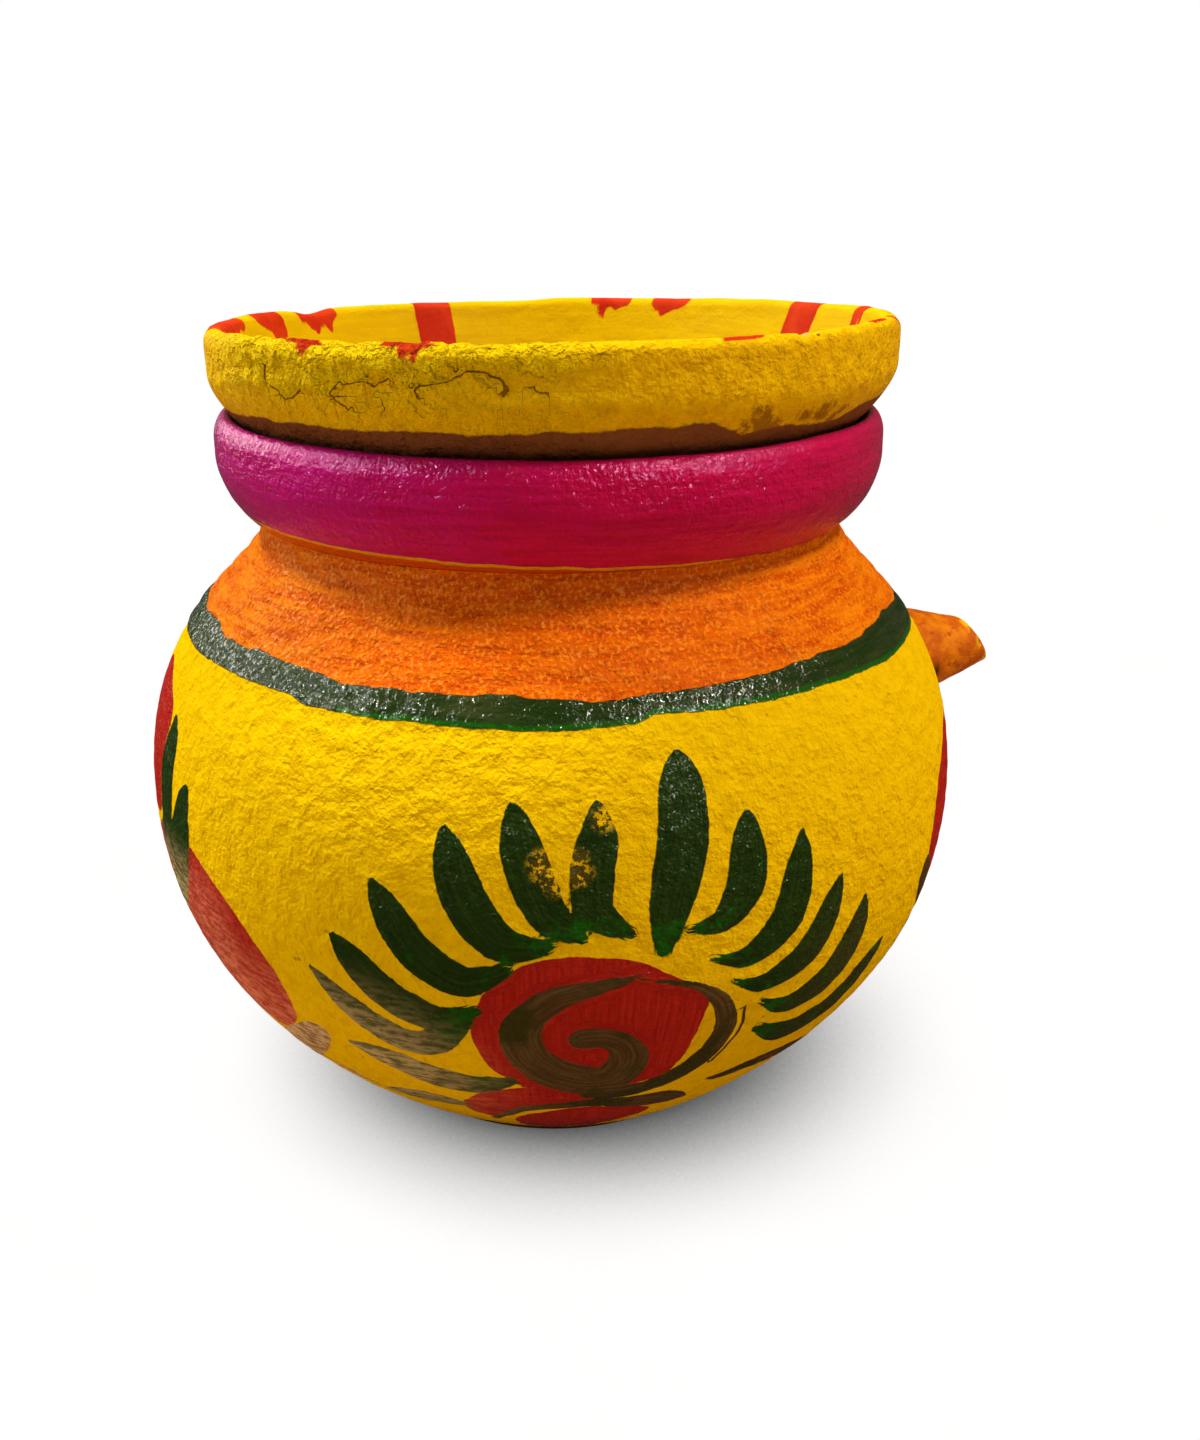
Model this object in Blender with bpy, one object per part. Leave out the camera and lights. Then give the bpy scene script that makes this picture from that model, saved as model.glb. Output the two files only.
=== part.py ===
"""A painted clay lota: a wheel-thrown pot with a heavy rim collar, a short luted spout and a loose saucer lid.

The pot stands on the ground plane at the origin, its axis is +Z, and its spout points along +X.
"""
import math

import bmesh
import bpy
from mathutils import Matrix, Vector

for item in list(bpy.data.objects):
    bpy.data.objects.remove(item, do_unlink=True)

MM = 0.001

# Sizes in millimetres. The gap is the clay-to-clay clearance left at every joint.
GAP = 0.3
SEGMENTS = 64

# The thrown body, outside.
BASE_RADIUS = 28.3
BASE_EDGE = 1.0
BELLY_RADIUS = 60.0
BELLY_HEIGHT = 50.5
NECK_RADIUS = 41.9
NECK_HEIGHT = 89.1

# The thrown body, inside.
FLOOR_HEIGHT = 6.5
FLOOR_RADIUS = 25.0
INNER_BELLY_RADIUS = 55.0
INNER_NECK_RADIUS = 36.9
MOUTH_RADIUS = 39.2
MOUTH_HEIGHT = 97.5
TONGUE_HEIGHT = 99.2

# The heavy collar round the mouth.
COLLAR_RADIUS = 47.4
COLLAR_BOTTOM = 89.4
COLLAR_SHOULDER = 101.4
COLLAR_CREST_RADIUS = 45.9
COLLAR_CREST = 103.8

# The saucer lid. It sits a little crooked: tipped and off centre towards its high side.
LID_RADIUS = 48.1
LID_TOP = 116.2
LID_LIP = 1.6
LID_WALL_FOOT = 109.5
LID_FOOT_RADIUS = 34.0
LID_FOOT = 97.6
LID_INNER_RADIUS = 44.6
LID_FLOOR_RADIUS = 31.0
LID_FLOOR = 101.8
LID_TILT = 0.02
LID_OFFSET = 0.45
LID_HIGH_SIDE = math.radians(-15.0)

# The spout, rising a little to a mouth cut on a slant, and the coil of clay that lutes it to the wall.
SPOUT_HEIGHT = 61.9
SPOUT_RISE = 1.0
SPOUT_ROOT_RADIUS = 8.5
SPOUT_TIP_RADIUS = 3.7
SPOUT_TIP = 73.0
SPOUT_SLANT = math.radians(34.0)
SPOUT_LIP = 0.5
BORE_ROOT_RADIUS = 4.2
BORE_TIP_RADIUS = 2.3
WALL_HOLE_RADIUS = 4.0
SPOUT_SEGMENTS = 32
LUTING_WIDTH = 2.6
LUTING_TOP = 0.24


def bezier(start, handle_a, handle_b, end, steps):
    """The points of a cubic curve, both ends included."""
    points = []
    for step in range(steps + 1):
        t = step / steps
        s = 1.0 - t
        radius = s**3 * start[0] + 3 * s * s * t * handle_a[0] + 3 * s * t * t * handle_b[0] + t**3 * end[0]
        height = s**3 * start[1] + 3 * s * s * t * handle_a[1] + 3 * s * t * t * handle_b[1] + t**3 * end[1]
        points.append((radius, height))
    return points


def quarter(centre, half_width, half_height, first, last, steps):
    """The points of an elliptical arc, with its angles in degrees from outwards towards up."""
    points = []
    for step in range(steps + 1):
        angle = math.radians(first + (last - first) * step / steps)
        points.append((centre[0] + half_width * math.cos(angle), centre[1] + half_height * math.sin(angle)))
    return points


def lower_wall(steps):
    """The outside of the body from the base's edge to the belly."""
    start = (BASE_RADIUS, BASE_EDGE)
    return bezier(start, (35.4, 6.0), (BELLY_RADIUS, 21.4), (BELLY_RADIUS, BELLY_HEIGHT), steps)


def upper_wall(steps):
    """The outside of the body from the belly to the neck."""
    end = (NECK_RADIUS, NECK_HEIGHT)
    return bezier((BELLY_RADIUS, BELLY_HEIGHT), (BELLY_RADIUS, 76.8), (NECK_RADIUS, 82.4), end, steps)


def wall_radius(height):
    """The body's outside radius at a height above the belly."""
    points = upper_wall(400)
    for (radius_a, height_a), (radius_b, height_b) in zip(points, points[1:]):
        if height_a <= height <= height_b:
            share = (height - height_a) / (height_b - height_a)
            return radius_a + share * (radius_b - radius_a)
    below = lower_wall(400)
    return min(below, key=lambda point: abs(point[1] - height))[0]


def wall_reach(across, height):
    """How far out along +X the wall's clearance surface lies."""
    return math.sqrt((wall_radius(height) + GAP) ** 2 - across**2)


def clay(name, colour, roughness):
    material = bpy.data.materials.new(name)
    material.use_nodes = True
    shader = material.node_tree.nodes["Principled BSDF"]
    shader.inputs["Base Color"].default_value = (*colour, 1.0)
    shader.inputs["Roughness"].default_value = roughness
    return material


def make_object(name, rows, closed, material):
    """Joins rows of points, in millimetres, into one closed skin. A row of one point is a pole."""
    mesh = bpy.data.meshes.new(name)
    grid = bmesh.new()
    made = [[grid.verts.new(Vector(point) * MM) for point in row] for row in rows]
    pairs = list(zip(made, made[1:]))
    if closed:
        pairs.append((made[-1], made[0]))
    for low, high in pairs:
        count = max(len(low), len(high))
        for i in range(count):
            j = (i + 1) % count
            if len(low) == 1:
                grid.faces.new((low[0], high[j], high[i]))
            elif len(high) == 1:
                grid.faces.new((low[i], low[j], high[0]))
            else:
                grid.faces.new((low[i], low[j], high[j], high[i]))
    bmesh.ops.recalc_face_normals(grid, faces=grid.faces)
    grid.to_mesh(mesh)
    grid.free()
    item = bpy.data.objects.new(name, mesh)
    bpy.context.scene.collection.objects.link(item)
    if material:
        mesh.materials.append(material)
    return item


def turned(outline):
    """The rows of points that an outline of (radius, height) sweeps round the pot's axis."""
    rows = []
    for radius, height in outline:
        if radius == 0.0:
            rows.append([(0.0, 0.0, height)])
            continue
        row = []
        for i in range(SEGMENTS):
            angle = 2.0 * math.pi * i / SEGMENTS
            row.append((radius * math.cos(angle), radius * math.sin(angle), height))
        rows.append(row)
    return rows


# The pot body: up the outside, over the neck's tongue and down the inside.
body_outline = [(0.0, 0.0), (14.0, 0.0), (BASE_RADIUS - BASE_EDGE, 0.0)]
body_outline += lower_wall(9)
body_outline += upper_wall(10)[1:]
body_outline += [(NECK_RADIUS, 94.5), (NECK_RADIUS, TONGUE_HEIGHT)]
body_outline += [(MOUTH_RADIUS, MOUTH_HEIGHT)]
inner_neck = (INNER_NECK_RADIUS, 88.0)
inner_belly = (INNER_BELLY_RADIUS, BELLY_HEIGHT)
body_outline += bezier(inner_neck, (INNER_NECK_RADIUS, 79.5), (INNER_BELLY_RADIUS, 74.0), inner_belly, 7)
inner_floor = (FLOOR_RADIUS, FLOOR_HEIGHT)
body_outline += bezier(inner_belly, (INNER_BELLY_RADIUS, 24.0), (34.0, FLOOR_HEIGHT + 2.0), inner_floor, 7)[1:]
body_outline += [(12.0, FLOOR_HEIGHT), (0.0, FLOOR_HEIGHT)]
pot_body = make_object("pot_body", turned(body_outline), False, clay("yellow_clay", (0.80, 0.47, 0.02), 0.6))

# The hole through the wall under the spout.
hole_rows = []
for reach in (40.0, 66.0):
    row = []
    for i in range(SPOUT_SEGMENTS):
        angle = 2.0 * math.pi * i / SPOUT_SEGMENTS
        across = WALL_HOLE_RADIUS * math.cos(angle)
        row.append((reach, across, SPOUT_HEIGHT + WALL_HOLE_RADIUS * math.sin(angle)))
    hole_rows.append(row)
hole_rows = [[(40.0, 0.0, SPOUT_HEIGHT)]] + hole_rows + [[(66.0, 0.0, SPOUT_HEIGHT)]]
hole = make_object("wall_hole_cutter", hole_rows, False, None)
hole.hide_render = True
hole.display_type = "WIRE"
cut = pot_body.modifiers.new("wall_hole", "BOOLEAN")
cut.operation = "DIFFERENCE"
cut.solver = "EXACT"
cut.object = hole

# The rim collar: up its flank, over the crest and down the seat to its inner face.
flank_start = (NECK_RADIUS + GAP, COLLAR_BOTTOM)
collar_outline = bezier(flank_start, (45.0, 91.2), (COLLAR_RADIUS, 95.0), (COLLAR_RADIUS, 99.0), 7)
crest_half_width = COLLAR_RADIUS - COLLAR_CREST_RADIUS
crest_half_height = COLLAR_CREST - COLLAR_SHOULDER
crest_centre = (COLLAR_CREST_RADIUS, COLLAR_SHOULDER)
collar_outline += quarter(crest_centre, crest_half_width, crest_half_height, 0.0, 90.0, 5)
seat_foot = (NECK_RADIUS + GAP, TONGUE_HEIGHT + 0.2)
collar_crest = (COLLAR_CREST_RADIUS, COLLAR_CREST)
collar_outline += bezier(collar_crest, (45.4, COLLAR_CREST), (44.4, 101.3), seat_foot, 5)[1:]
rim_collar = make_object("rim_collar", turned(collar_outline), True, clay("magenta_clay", (0.42, 0.02, 0.16), 0.4))

# The lid: out along the underside, up the wall, over the lip and down into the dish.
lid_outline = [(0.0, LID_FOOT), (17.0, LID_FOOT), (LID_FOOT_RADIUS - 1.0, LID_FOOT)]
wall_foot = (LID_RADIUS, LID_WALL_FOOT)
lid_outline += bezier((LID_FOOT_RADIUS, LID_FOOT + 0.4), (42.0, 99.2), (LID_RADIUS, 106.0), wall_foot, 8)
lip_centre = (LID_RADIUS - LID_LIP, LID_TOP - LID_LIP)
lid_outline += quarter(lip_centre, LID_LIP, LID_LIP, 0.0, 180.0, 6)
inner_foot = (LID_INNER_RADIUS, LID_WALL_FOOT)
lid_outline += bezier(inner_foot, (LID_INNER_RADIUS, 105.5), (40.0, 102.0), (LID_FLOOR_RADIUS, LID_FLOOR), 7)
lid_outline += [(15.0, LID_FLOOR), (0.0, LID_FLOOR)]
lid = make_object("lid", turned(lid_outline), False, clay("lid_clay", (0.75, 0.45, 0.04), 0.6))
high_side = Vector((math.cos(LID_HIGH_SIDE), math.sin(LID_HIGH_SIDE), 0.0))
tilt_axis = Vector((high_side.y, -high_side.x, 0.0))
pivot = Matrix.Translation(Vector((0.0, 0.0, LID_WALL_FOOT * MM)))
tipped = pivot @ Matrix.Rotation(LID_TILT, 4, tilt_axis) @ pivot.inverted()
lid.data.transform(Matrix.Translation(high_side * LID_OFFSET * MM) @ tipped)


def spout_point(angle, along, radius_root, radius_tip):
    """A point on a skin that runs from the wall, along 0, to the slanted mouth, along 1."""
    radius = radius_root + (radius_tip - radius_root) * along
    across = radius * math.cos(angle)
    rise = radius * math.sin(angle)
    root = wall_reach(radius_root * math.cos(angle), SPOUT_HEIGHT + radius_root * math.sin(angle))
    mouth = SPOUT_TIP - math.tan(SPOUT_SLANT) * radius_tip * math.sin(angle)
    return (root + (mouth - root) * along, across, SPOUT_HEIGHT + SPOUT_RISE * along + rise)


def spout_row(along, radius_root, radius_tip):
    angles = [2.0 * math.pi * i / SPOUT_SEGMENTS for i in range(SPOUT_SEGMENTS)]
    return [spout_point(angle, along, radius_root, radius_tip) for angle in angles]


# The spout: out along its skin, over the lip and back down the bore.
spout_rows = [spout_row(along, SPOUT_ROOT_RADIUS, SPOUT_TIP_RADIUS) for along in (0.0, 0.25, 0.5, 0.75, 0.95)]
spout_rows.append(spout_row(1.0, SPOUT_ROOT_RADIUS, SPOUT_TIP_RADIUS - SPOUT_LIP))
spout_rows.append(spout_row(1.0, BORE_ROOT_RADIUS, BORE_TIP_RADIUS + SPOUT_LIP * 0.5))
spout_rows += [spout_row(along, BORE_ROOT_RADIUS, BORE_TIP_RADIUS) for along in (0.95, 0.65, 0.35, 0.0)]
spout = make_object("spout", spout_rows, True, clay("orange_clay", (0.80, 0.22, 0.02), 0.5))

# The luting coil: a fillet round the spout's root, lying against the wall.
luting_rows = [
    spout_row(0.0, SPOUT_ROOT_RADIUS + GAP, SPOUT_TIP_RADIUS + GAP),
    spout_row(LUTING_TOP, SPOUT_ROOT_RADIUS + GAP, SPOUT_TIP_RADIUS + GAP),
    spout_row(LUTING_TOP, SPOUT_ROOT_RADIUS + GAP + 0.4, SPOUT_TIP_RADIUS + GAP + 0.4),
    spout_row(0.09, SPOUT_ROOT_RADIUS + GAP + 0.9, SPOUT_TIP_RADIUS + GAP + 0.9),
    spout_row(0.0, SPOUT_ROOT_RADIUS + GAP + LUTING_WIDTH, SPOUT_TIP_RADIUS + GAP + LUTING_WIDTH),
]
luting = make_object("spout_luting", luting_rows, True, clay("luting_clay", (0.70, 0.25, 0.03), 0.6))
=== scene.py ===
"""The look of a painted clay lota with a saucer lid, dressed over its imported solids.

Lengths are in millimetres until a mesh is made. Angles on the pot are in degrees from the side that
faces the camera, growing to the camera's right, so the spout lies at SPOUT_ANGLE.
"""
import math

import bmesh
import bpy
import numpy as np
from mathutils import Matrix, Vector, noise


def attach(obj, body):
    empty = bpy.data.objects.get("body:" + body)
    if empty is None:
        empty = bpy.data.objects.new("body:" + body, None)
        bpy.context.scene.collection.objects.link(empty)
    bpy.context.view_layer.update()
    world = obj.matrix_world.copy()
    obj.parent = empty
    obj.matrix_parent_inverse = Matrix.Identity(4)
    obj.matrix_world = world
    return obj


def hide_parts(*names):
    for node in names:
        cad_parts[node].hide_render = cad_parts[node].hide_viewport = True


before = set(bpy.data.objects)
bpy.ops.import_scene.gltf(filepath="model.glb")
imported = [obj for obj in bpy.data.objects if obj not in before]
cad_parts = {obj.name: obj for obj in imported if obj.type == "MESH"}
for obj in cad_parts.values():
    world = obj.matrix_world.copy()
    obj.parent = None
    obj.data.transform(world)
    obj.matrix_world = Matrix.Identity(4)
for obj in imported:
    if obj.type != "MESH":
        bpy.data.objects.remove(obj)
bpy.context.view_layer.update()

MM = 0.001
SPOUT_ANGLE = 105.0

# The thrown body's outline.
BASE_RADIUS = 28.3
BASE_EDGE = 1.0
BELLY_RADIUS = 60.0
BELLY_HEIGHT = 50.5
NECK_RADIUS = 41.9
NECK_HEIGHT = 89.1
TONGUE_HEIGHT = 99.2
MOUTH_RADIUS = 39.2
MOUTH_HEIGHT = 97.5
INNER_NECK_RADIUS = 36.9
INNER_NECK_HEIGHT = 88.0
INNER_BELLY_RADIUS = 55.0
FLOOR_RADIUS = 25.0
FLOOR_HEIGHT = 6.5

# The green band round the shoulder, where a millimetre of height is longer along the slanting wall.
BAND_FOOT = 74.2
BAND_TOP = 77.3
BAND_SLANT = 1.25

# The collar. Its crest rises to one side and sags in front.
COLLAR_RADIUS = 47.4
COLLAR_BOTTOM = 89.1
COLLAR_SHOULDER = 101.3
COLLAR_CREST_RADIUS = 45.6
COLLAR_CREST = 104.3
COLLAR_SEAT_RADIUS = NECK_RADIUS - 0.6
COLLAR_RISE = 0.15
COLLAR_SAG = 1.0
# The share of the collar's outline after which it is the hidden seat.
COLLAR_SEAT_START = 0.72

# The lid, which sits tipped and a little off centre.
LID_RADIUS = 48.3
LID_TOP = 116.2
LID_LIP = 1.6
LID_WALL_FOOT = 110.2
LID_PAINT_EDGE = 106.6
LID_FOOT_RADIUS = 34.0
LID_FOOT = 97.6
LID_INNER_RADIUS = 44.9
LID_INNER_FOOT_RADIUS = 42.3
LID_INNER_FOOT = 107.5
LID_FLOOR_RADIUS = 31.0
LID_FLOOR = 101.8
LID_TILT = 0.02
LID_OFFSET = 0.6
SMEAR_HEIGHT = 116.0

# The spout. Its root is sunk a little into the wall, and its rounded lip takes up the end of its length.
SPOUT_HEIGHT = 61.9
SPOUT_RISE = 1.0
SPOUT_ROOT_RADIUS = 8.5
SPOUT_TIP_RADIUS = 3.7
SPOUT_TIP = 73.0
SPOUT_SLANT = math.radians(34.0)
SPOUT_SINK = 0.15
SPOUT_ROWS = 40
SPOUT_COLUMNS = 120
LIP_START = 0.96
LIP_SPAN = 0.04
LIP_ROWS = 5
BORE_ROWS = 12
BORE_ROOT_RADIUS = 4.2
BORE_TIP_RADIUS = 2.3
WALL_HOLE_RADIUS = 4.0
LUTING_WIDTH = 2.9
LUTING_REACH = 0.3


def polar(angle):
    """The angle round +Z, in radians from +X, of an angle counted from the camera's side."""
    return np.radians(np.asarray(angle, dtype=float) - SPOUT_ANGLE)


def spot(angle, radius, height):
    """The point at an angle round the pot, a distance from its axis and a height."""
    turn = polar(angle)
    return np.array([radius * np.cos(turn), radius * np.sin(turn), height])


def wrapped(angle):
    """The same angle, between -180 and 180 degrees."""
    return (angle + 180.0) % 360.0 - 180.0


def off_axis(points):
    return np.hypot(points[:, 0], points[:, 1])


# Outlines and turned skins

def curve(start, handle_a, handle_b, end, steps=60):
    """The points of a cubic curve, both ends included."""
    t = np.linspace(0.0, 1.0, steps + 1)[:, None]
    s = 1.0 - t
    ends = s**3 * np.array(start) + t**3 * np.array(end)
    return ends + 3 * s * s * t * np.array(handle_a) + 3 * s * t * t * np.array(handle_b)


def arc(centre, half_width, half_height, first, last, steps=24):
    """The points of an elliptical arc, with its angles in degrees from outwards towards up."""
    turn = np.radians(np.linspace(first, last, steps + 1))
    return np.stack([centre[0] + half_width * np.cos(turn), centre[1] + half_height * np.sin(turn)], 1)


def even(points, spacing):
    """The same line with its points an even distance apart."""
    points = np.asarray(points, dtype=float)
    step = np.hypot(*np.diff(points, axis=0).T)
    length = np.concatenate([[0.0], np.cumsum(step)])
    count = max(2, int(round(length[-1] / spacing)) + 1)
    at = np.linspace(0.0, length[-1], count)
    return np.stack([np.interp(at, length, points[:, 0]), np.interp(at, length, points[:, 1])], 1)


def chain(*lines):
    """Lines joined end to end, with the shared points kept once."""
    joined = [lines[0]]
    for line in lines[1:]:
        same = np.allclose(line[0], joined[-1][-1])
        joined.append(line[1:] if same else line)
    return np.vstack(joined)


def columns(front_step, back_step):
    """Angles round the pot, closer together on the half that faces the camera."""
    front = np.arange(-100.0, 100.0, front_step)
    back = np.arange(100.0, 260.0, back_step)
    return np.concatenate([front, back])


def add_object(name, data):
    item = bpy.data.objects.new(name, data)
    bpy.context.scene.collection.objects.link(item)
    return item


def add_piece(name, points, faces, fields, material, tip=None):
    """An object made from points in millimetres, with a value at each point for every field."""
    mesh = bpy.data.meshes.new(name)
    mesh.from_pydata((points * MM).tolist(), [], faces)
    if tip:
        mesh.transform(tip)
    for field, values in fields.items():
        made = mesh.attributes.new(field, "FLOAT", "POINT")
        made.data.foreach_set("value", np.asarray(values, dtype=np.float32))
    mesh.shade_smooth()
    mesh.materials.append(material)
    mesh.update()
    return add_object(name, mesh)


class Skin:
    """A surface turned from an outline of (radius, height): its points, outward directions and faces."""

    def __init__(self, outline, angles, closed=False):
        around = polar(angles)
        ring = np.arange(len(around))
        following = np.roll(ring, -1)
        slope = np.gradient(outline, axis=0)
        if closed:
            slope = (np.roll(outline, -1, axis=0) - np.roll(outline, 1, axis=0)) / 2
        slope /= np.maximum(np.hypot(slope[:, 0], slope[:, 1]), 1e-9)[:, None]
        points, normals, rows, self.faces = [], [], [], []
        start = 0
        self.angle, self.at = [], []
        for place, ((radius, height), (across, up)) in enumerate(zip(outline, slope)):
            pole = radius < 1e-6
            turn = around[:1] if pole else around
            out = np.stack([np.cos(turn), np.sin(turn), np.zeros_like(turn)], 1)
            points.append(out * radius + [0.0, 0.0, height])
            normals.append([[0.0, 0.0, -across]] if pole else out * up + [0.0, 0.0, -across])
            self.angle.append(np.asarray(angles[:1] if pole else angles))
            self.at.append(np.full(len(turn), place))
            rows.append(start + (np.zeros_like(ring) if pole else ring))
            start += len(turn)
        pairs = list(zip(rows, rows[1:]))
        if closed:
            pairs.append((rows[-1], rows[0]))
        for low, high in pairs:
            for i, j in zip(ring, following):
                face = [low[i], low[j], high[j], high[i]]
                self.faces.append(tuple(dict.fromkeys(int(v) for v in face)))
        self.points = np.vstack(points)
        self.normals = np.vstack(normals)
        self.angle = np.concatenate(self.angle)
        self.at = np.concatenate(self.at)
        self.fields = {}

    def push(self, distance):
        self.points = self.points + self.normals * np.asarray(distance)[:, None]

    def build(self, name, material, tip=None):
        return add_piece(name, self.points, self.faces, self.fields, material, tip)


def ripple(points, size, octaves=2, seed=0.0):
    """Smooth noise about zero at each point, with features of about the given size."""
    shift = np.array([seed, 2.3 * seed, 5.1 * seed])
    return np.array([noise.fractal(p, 1.0, 2.0, octaves) for p in (points / size + shift).tolist()])


def smooth(value, low, high):
    """A soft step from 0 at low to 1 at high."""
    t = np.clip((np.asarray(value) - low) / (high - low), 0.0, 1.0)
    return t * t * (3.0 - 2.0 * t)


# Brush strokes

# The largest distance that a stroke's field tells apart, and one that no search for the nearest reaches.
FAR = 6.0
UNREACHED = 1e3
# How far past its edge a stroke still sets the run of the brush's hair, and what parts two strokes' hair.
HAIR_MARGIN = 0.8
HAIR_SHIFT = 20.0
# A leaf is at its full width between these shares of its length.
LEAF_FULL_FROM = 0.45
LEAF_FULL_TO = 0.5


def flowing(values, closed=False, spans=8):
    """A smooth line through the given points."""
    values = np.asarray(values, dtype=float)
    if closed:
        padded = np.vstack([values[-1], values, values[0], values[1]])
    else:
        padded = np.vstack([2 * values[0] - values[1], values, 2 * values[-1] - values[-2]])
    line = []
    for a, b, c, d in zip(padded, padded[1:], padded[2:], padded[3:]):
        for t in np.arange(spans) / spans:
            bend = (2 * a - 5 * b + 4 * c - d) * t**2 + (3 * b - a - 3 * c + d) * t**3
            line.append(0.5 * (2 * b + (c - a) * t + bend))
    line.append(padded[-2])
    return np.array(line)


def beside(points, a, b):
    """Each point's share of the way from a to b, that share held to 0 and 1, and the point's offset."""
    step = b - a
    reach = (points - a) @ step / max(step @ step, 1e-9)
    held = np.clip(reach, 0.0, 1.0)
    return reach, held, points - a - held[:, None] * step


class Brush:
    """Lays strokes on a skin as signed distances in millimetres: below zero is under paint."""

    def __init__(self, skin, place, colours):
        self.skin = skin
        self.place = place
        self.strokes = 0
        for colour in colours:
            skin.fields[colour] = np.full(len(skin.points), FAR)
        skin.fields["along"] = np.full(len(skin.points), FAR)
        skin.fields["across"] = np.zeros(len(skin.points))

    def spine(self, line):
        """The points on the skin of a line of (angle, height)."""
        return np.array([self.place(angle, height) for angle, height in np.asarray(line)[:, :2]])

    def near(self, spine, margin):
        """The points of the skin that a stroke along this line could reach."""
        middle = spine.mean(0)
        reach = np.linalg.norm(spine - middle, axis=1).max() + margin
        return np.where(np.linalg.norm(self.skin.points - middle, axis=1) < reach)[0]

    def side(self, near, step, offset):
        """1 on one side of a line along the skin and -1 on the other."""
        return np.sign(np.einsum("ij,ij->i", np.cross(step, offset), self.skin.normals[near]))

    def keep(self, colour, near, apart, along, across):
        """Adds one stroke's distances, and its brush direction where it lies on top."""
        field = self.skin.fields[colour]
        field[near] = np.minimum(field[near], apart)
        top = apart < HAIR_MARGIN
        self.strokes += 1
        self.skin.fields["along"][near[top]] = along[top]
        self.skin.fields["across"][near[top]] = across[top] + HAIR_SHIFT * self.strokes

    def sweep(self, colour, stations):
        """A stroke through stations of (angle, height, half width)."""
        line = flowing(stations)
        spine = self.spine(line)
        widths = np.maximum(line[:, 2], 0.0)
        near = self.near(spine, widths.max() + FAR)
        best = np.full(len(near), UNREACHED)
        along = np.zeros(len(near))
        across = np.zeros(len(near))
        run = np.concatenate([[0.0], np.cumsum(np.linalg.norm(np.diff(spine, axis=0), axis=1))])
        for k, (a, b) in enumerate(zip(spine, spine[1:])):
            _, t, offset = beside(self.skin.points[near], a, b)
            distance = np.linalg.norm(offset, axis=1)
            apart = distance - (widths[k] + t * (widths[k + 1] - widths[k]))
            closer = apart < best
            best[closer] = apart[closer]
            along[closer] = (run[k] + t * (run[k + 1] - run[k]))[closer]
            across[closer] = (self.side(near, b - a, offset) * distance)[closer]
        self.keep(colour, near, best, along, across)

    def hairline(self, field, line):
        """A line too thin for the skin's own points, kept as a distance that changes sign across it."""
        spine = self.spine(line)
        near = self.near(spine, FAR)
        kept = self.skin.fields.setdefault(field, np.full(len(self.skin.points), FAR))
        best = kept[near].copy()
        last = len(spine) - 2
        for k, (a, b) in enumerate(zip(spine, spine[1:])):
            reach, _, offset = beside(self.skin.points[near], a, b)
            distance = np.linalg.norm(offset, axis=1)
            beyond = ((k == 0) & (reach < 0.0)) | ((k == last) & (reach > 1.0))
            closer = distance < np.abs(best)
            best[closer] = np.where(beyond, distance, self.side(near, b - a, offset) * distance)[closer]
        kept[near] = best

    def leaf(self, colour, points, half_width, blunt=2.4, swell=2.0):
        """A leaf through points of (angle, height), swelling from its root and pointed at its tip."""
        line = flowing(points)
        t = np.linspace(0.0, 1.0, len(line))
        narrow = 0.15 * swell
        root = narrow + (1.0 - narrow) * (1.0 - np.clip(1.0 - t / LEAF_FULL_FROM, 0.0, 1.0) ** swell)
        tip = 1.0 - 0.9 * np.clip((t - LEAF_FULL_TO) / (1.0 - LEAF_FULL_TO), 0.0, 1.0) ** blunt
        self.sweep(colour, np.column_stack([line, half_width * root * tip])[::4])

    def patch(self, colour, outline):
        """A filled shape with a smooth closed outline of (angle, height)."""
        line = flowing(outline, closed=True)
        spine = self.spine(line)
        near = self.near(spine, FAR)
        points = self.skin.points[near]
        middle = line[:, 0].mean()
        angle = wrapped(self.skin.angle[near] - middle) + middle
        height = points[:, 2]
        best = np.full(len(near), UNREACHED)
        inside = np.zeros(len(near), dtype=bool)
        for k, (a, b) in enumerate(zip(spine, spine[1:])):
            best = np.minimum(best, np.linalg.norm(beside(points, a, b)[2], axis=1))
            (angle_a, height_a), (angle_b, height_b) = line[k], line[k + 1]
            if height_a != height_b:
                crossing = angle_a + (angle_b - angle_a) * (height - height_a) / (height_b - height_a)
                inside ^= ((height_a > height) != (height_b > height)) & (angle < crossing)
        self.keep(colour, near, np.where(inside, -best, best), height + FAR, angle)


# The pot body

belly = (BELLY_RADIUS, BELLY_HEIGHT)
WALL = chain(
    curve((BASE_RADIUS, BASE_EDGE), (35.4, 6.0), (BELLY_RADIUS, 21.4), belly),
    curve(belly, (BELLY_RADIUS, 76.8), (NECK_RADIUS, 82.4), (NECK_RADIUS, NECK_HEIGHT)),
)


def wall_radius(height):
    return np.interp(height, WALL[:, 1], WALL[:, 0])


def on_pot(angle, height):
    return spot(angle, wall_radius(height), height)


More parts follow.
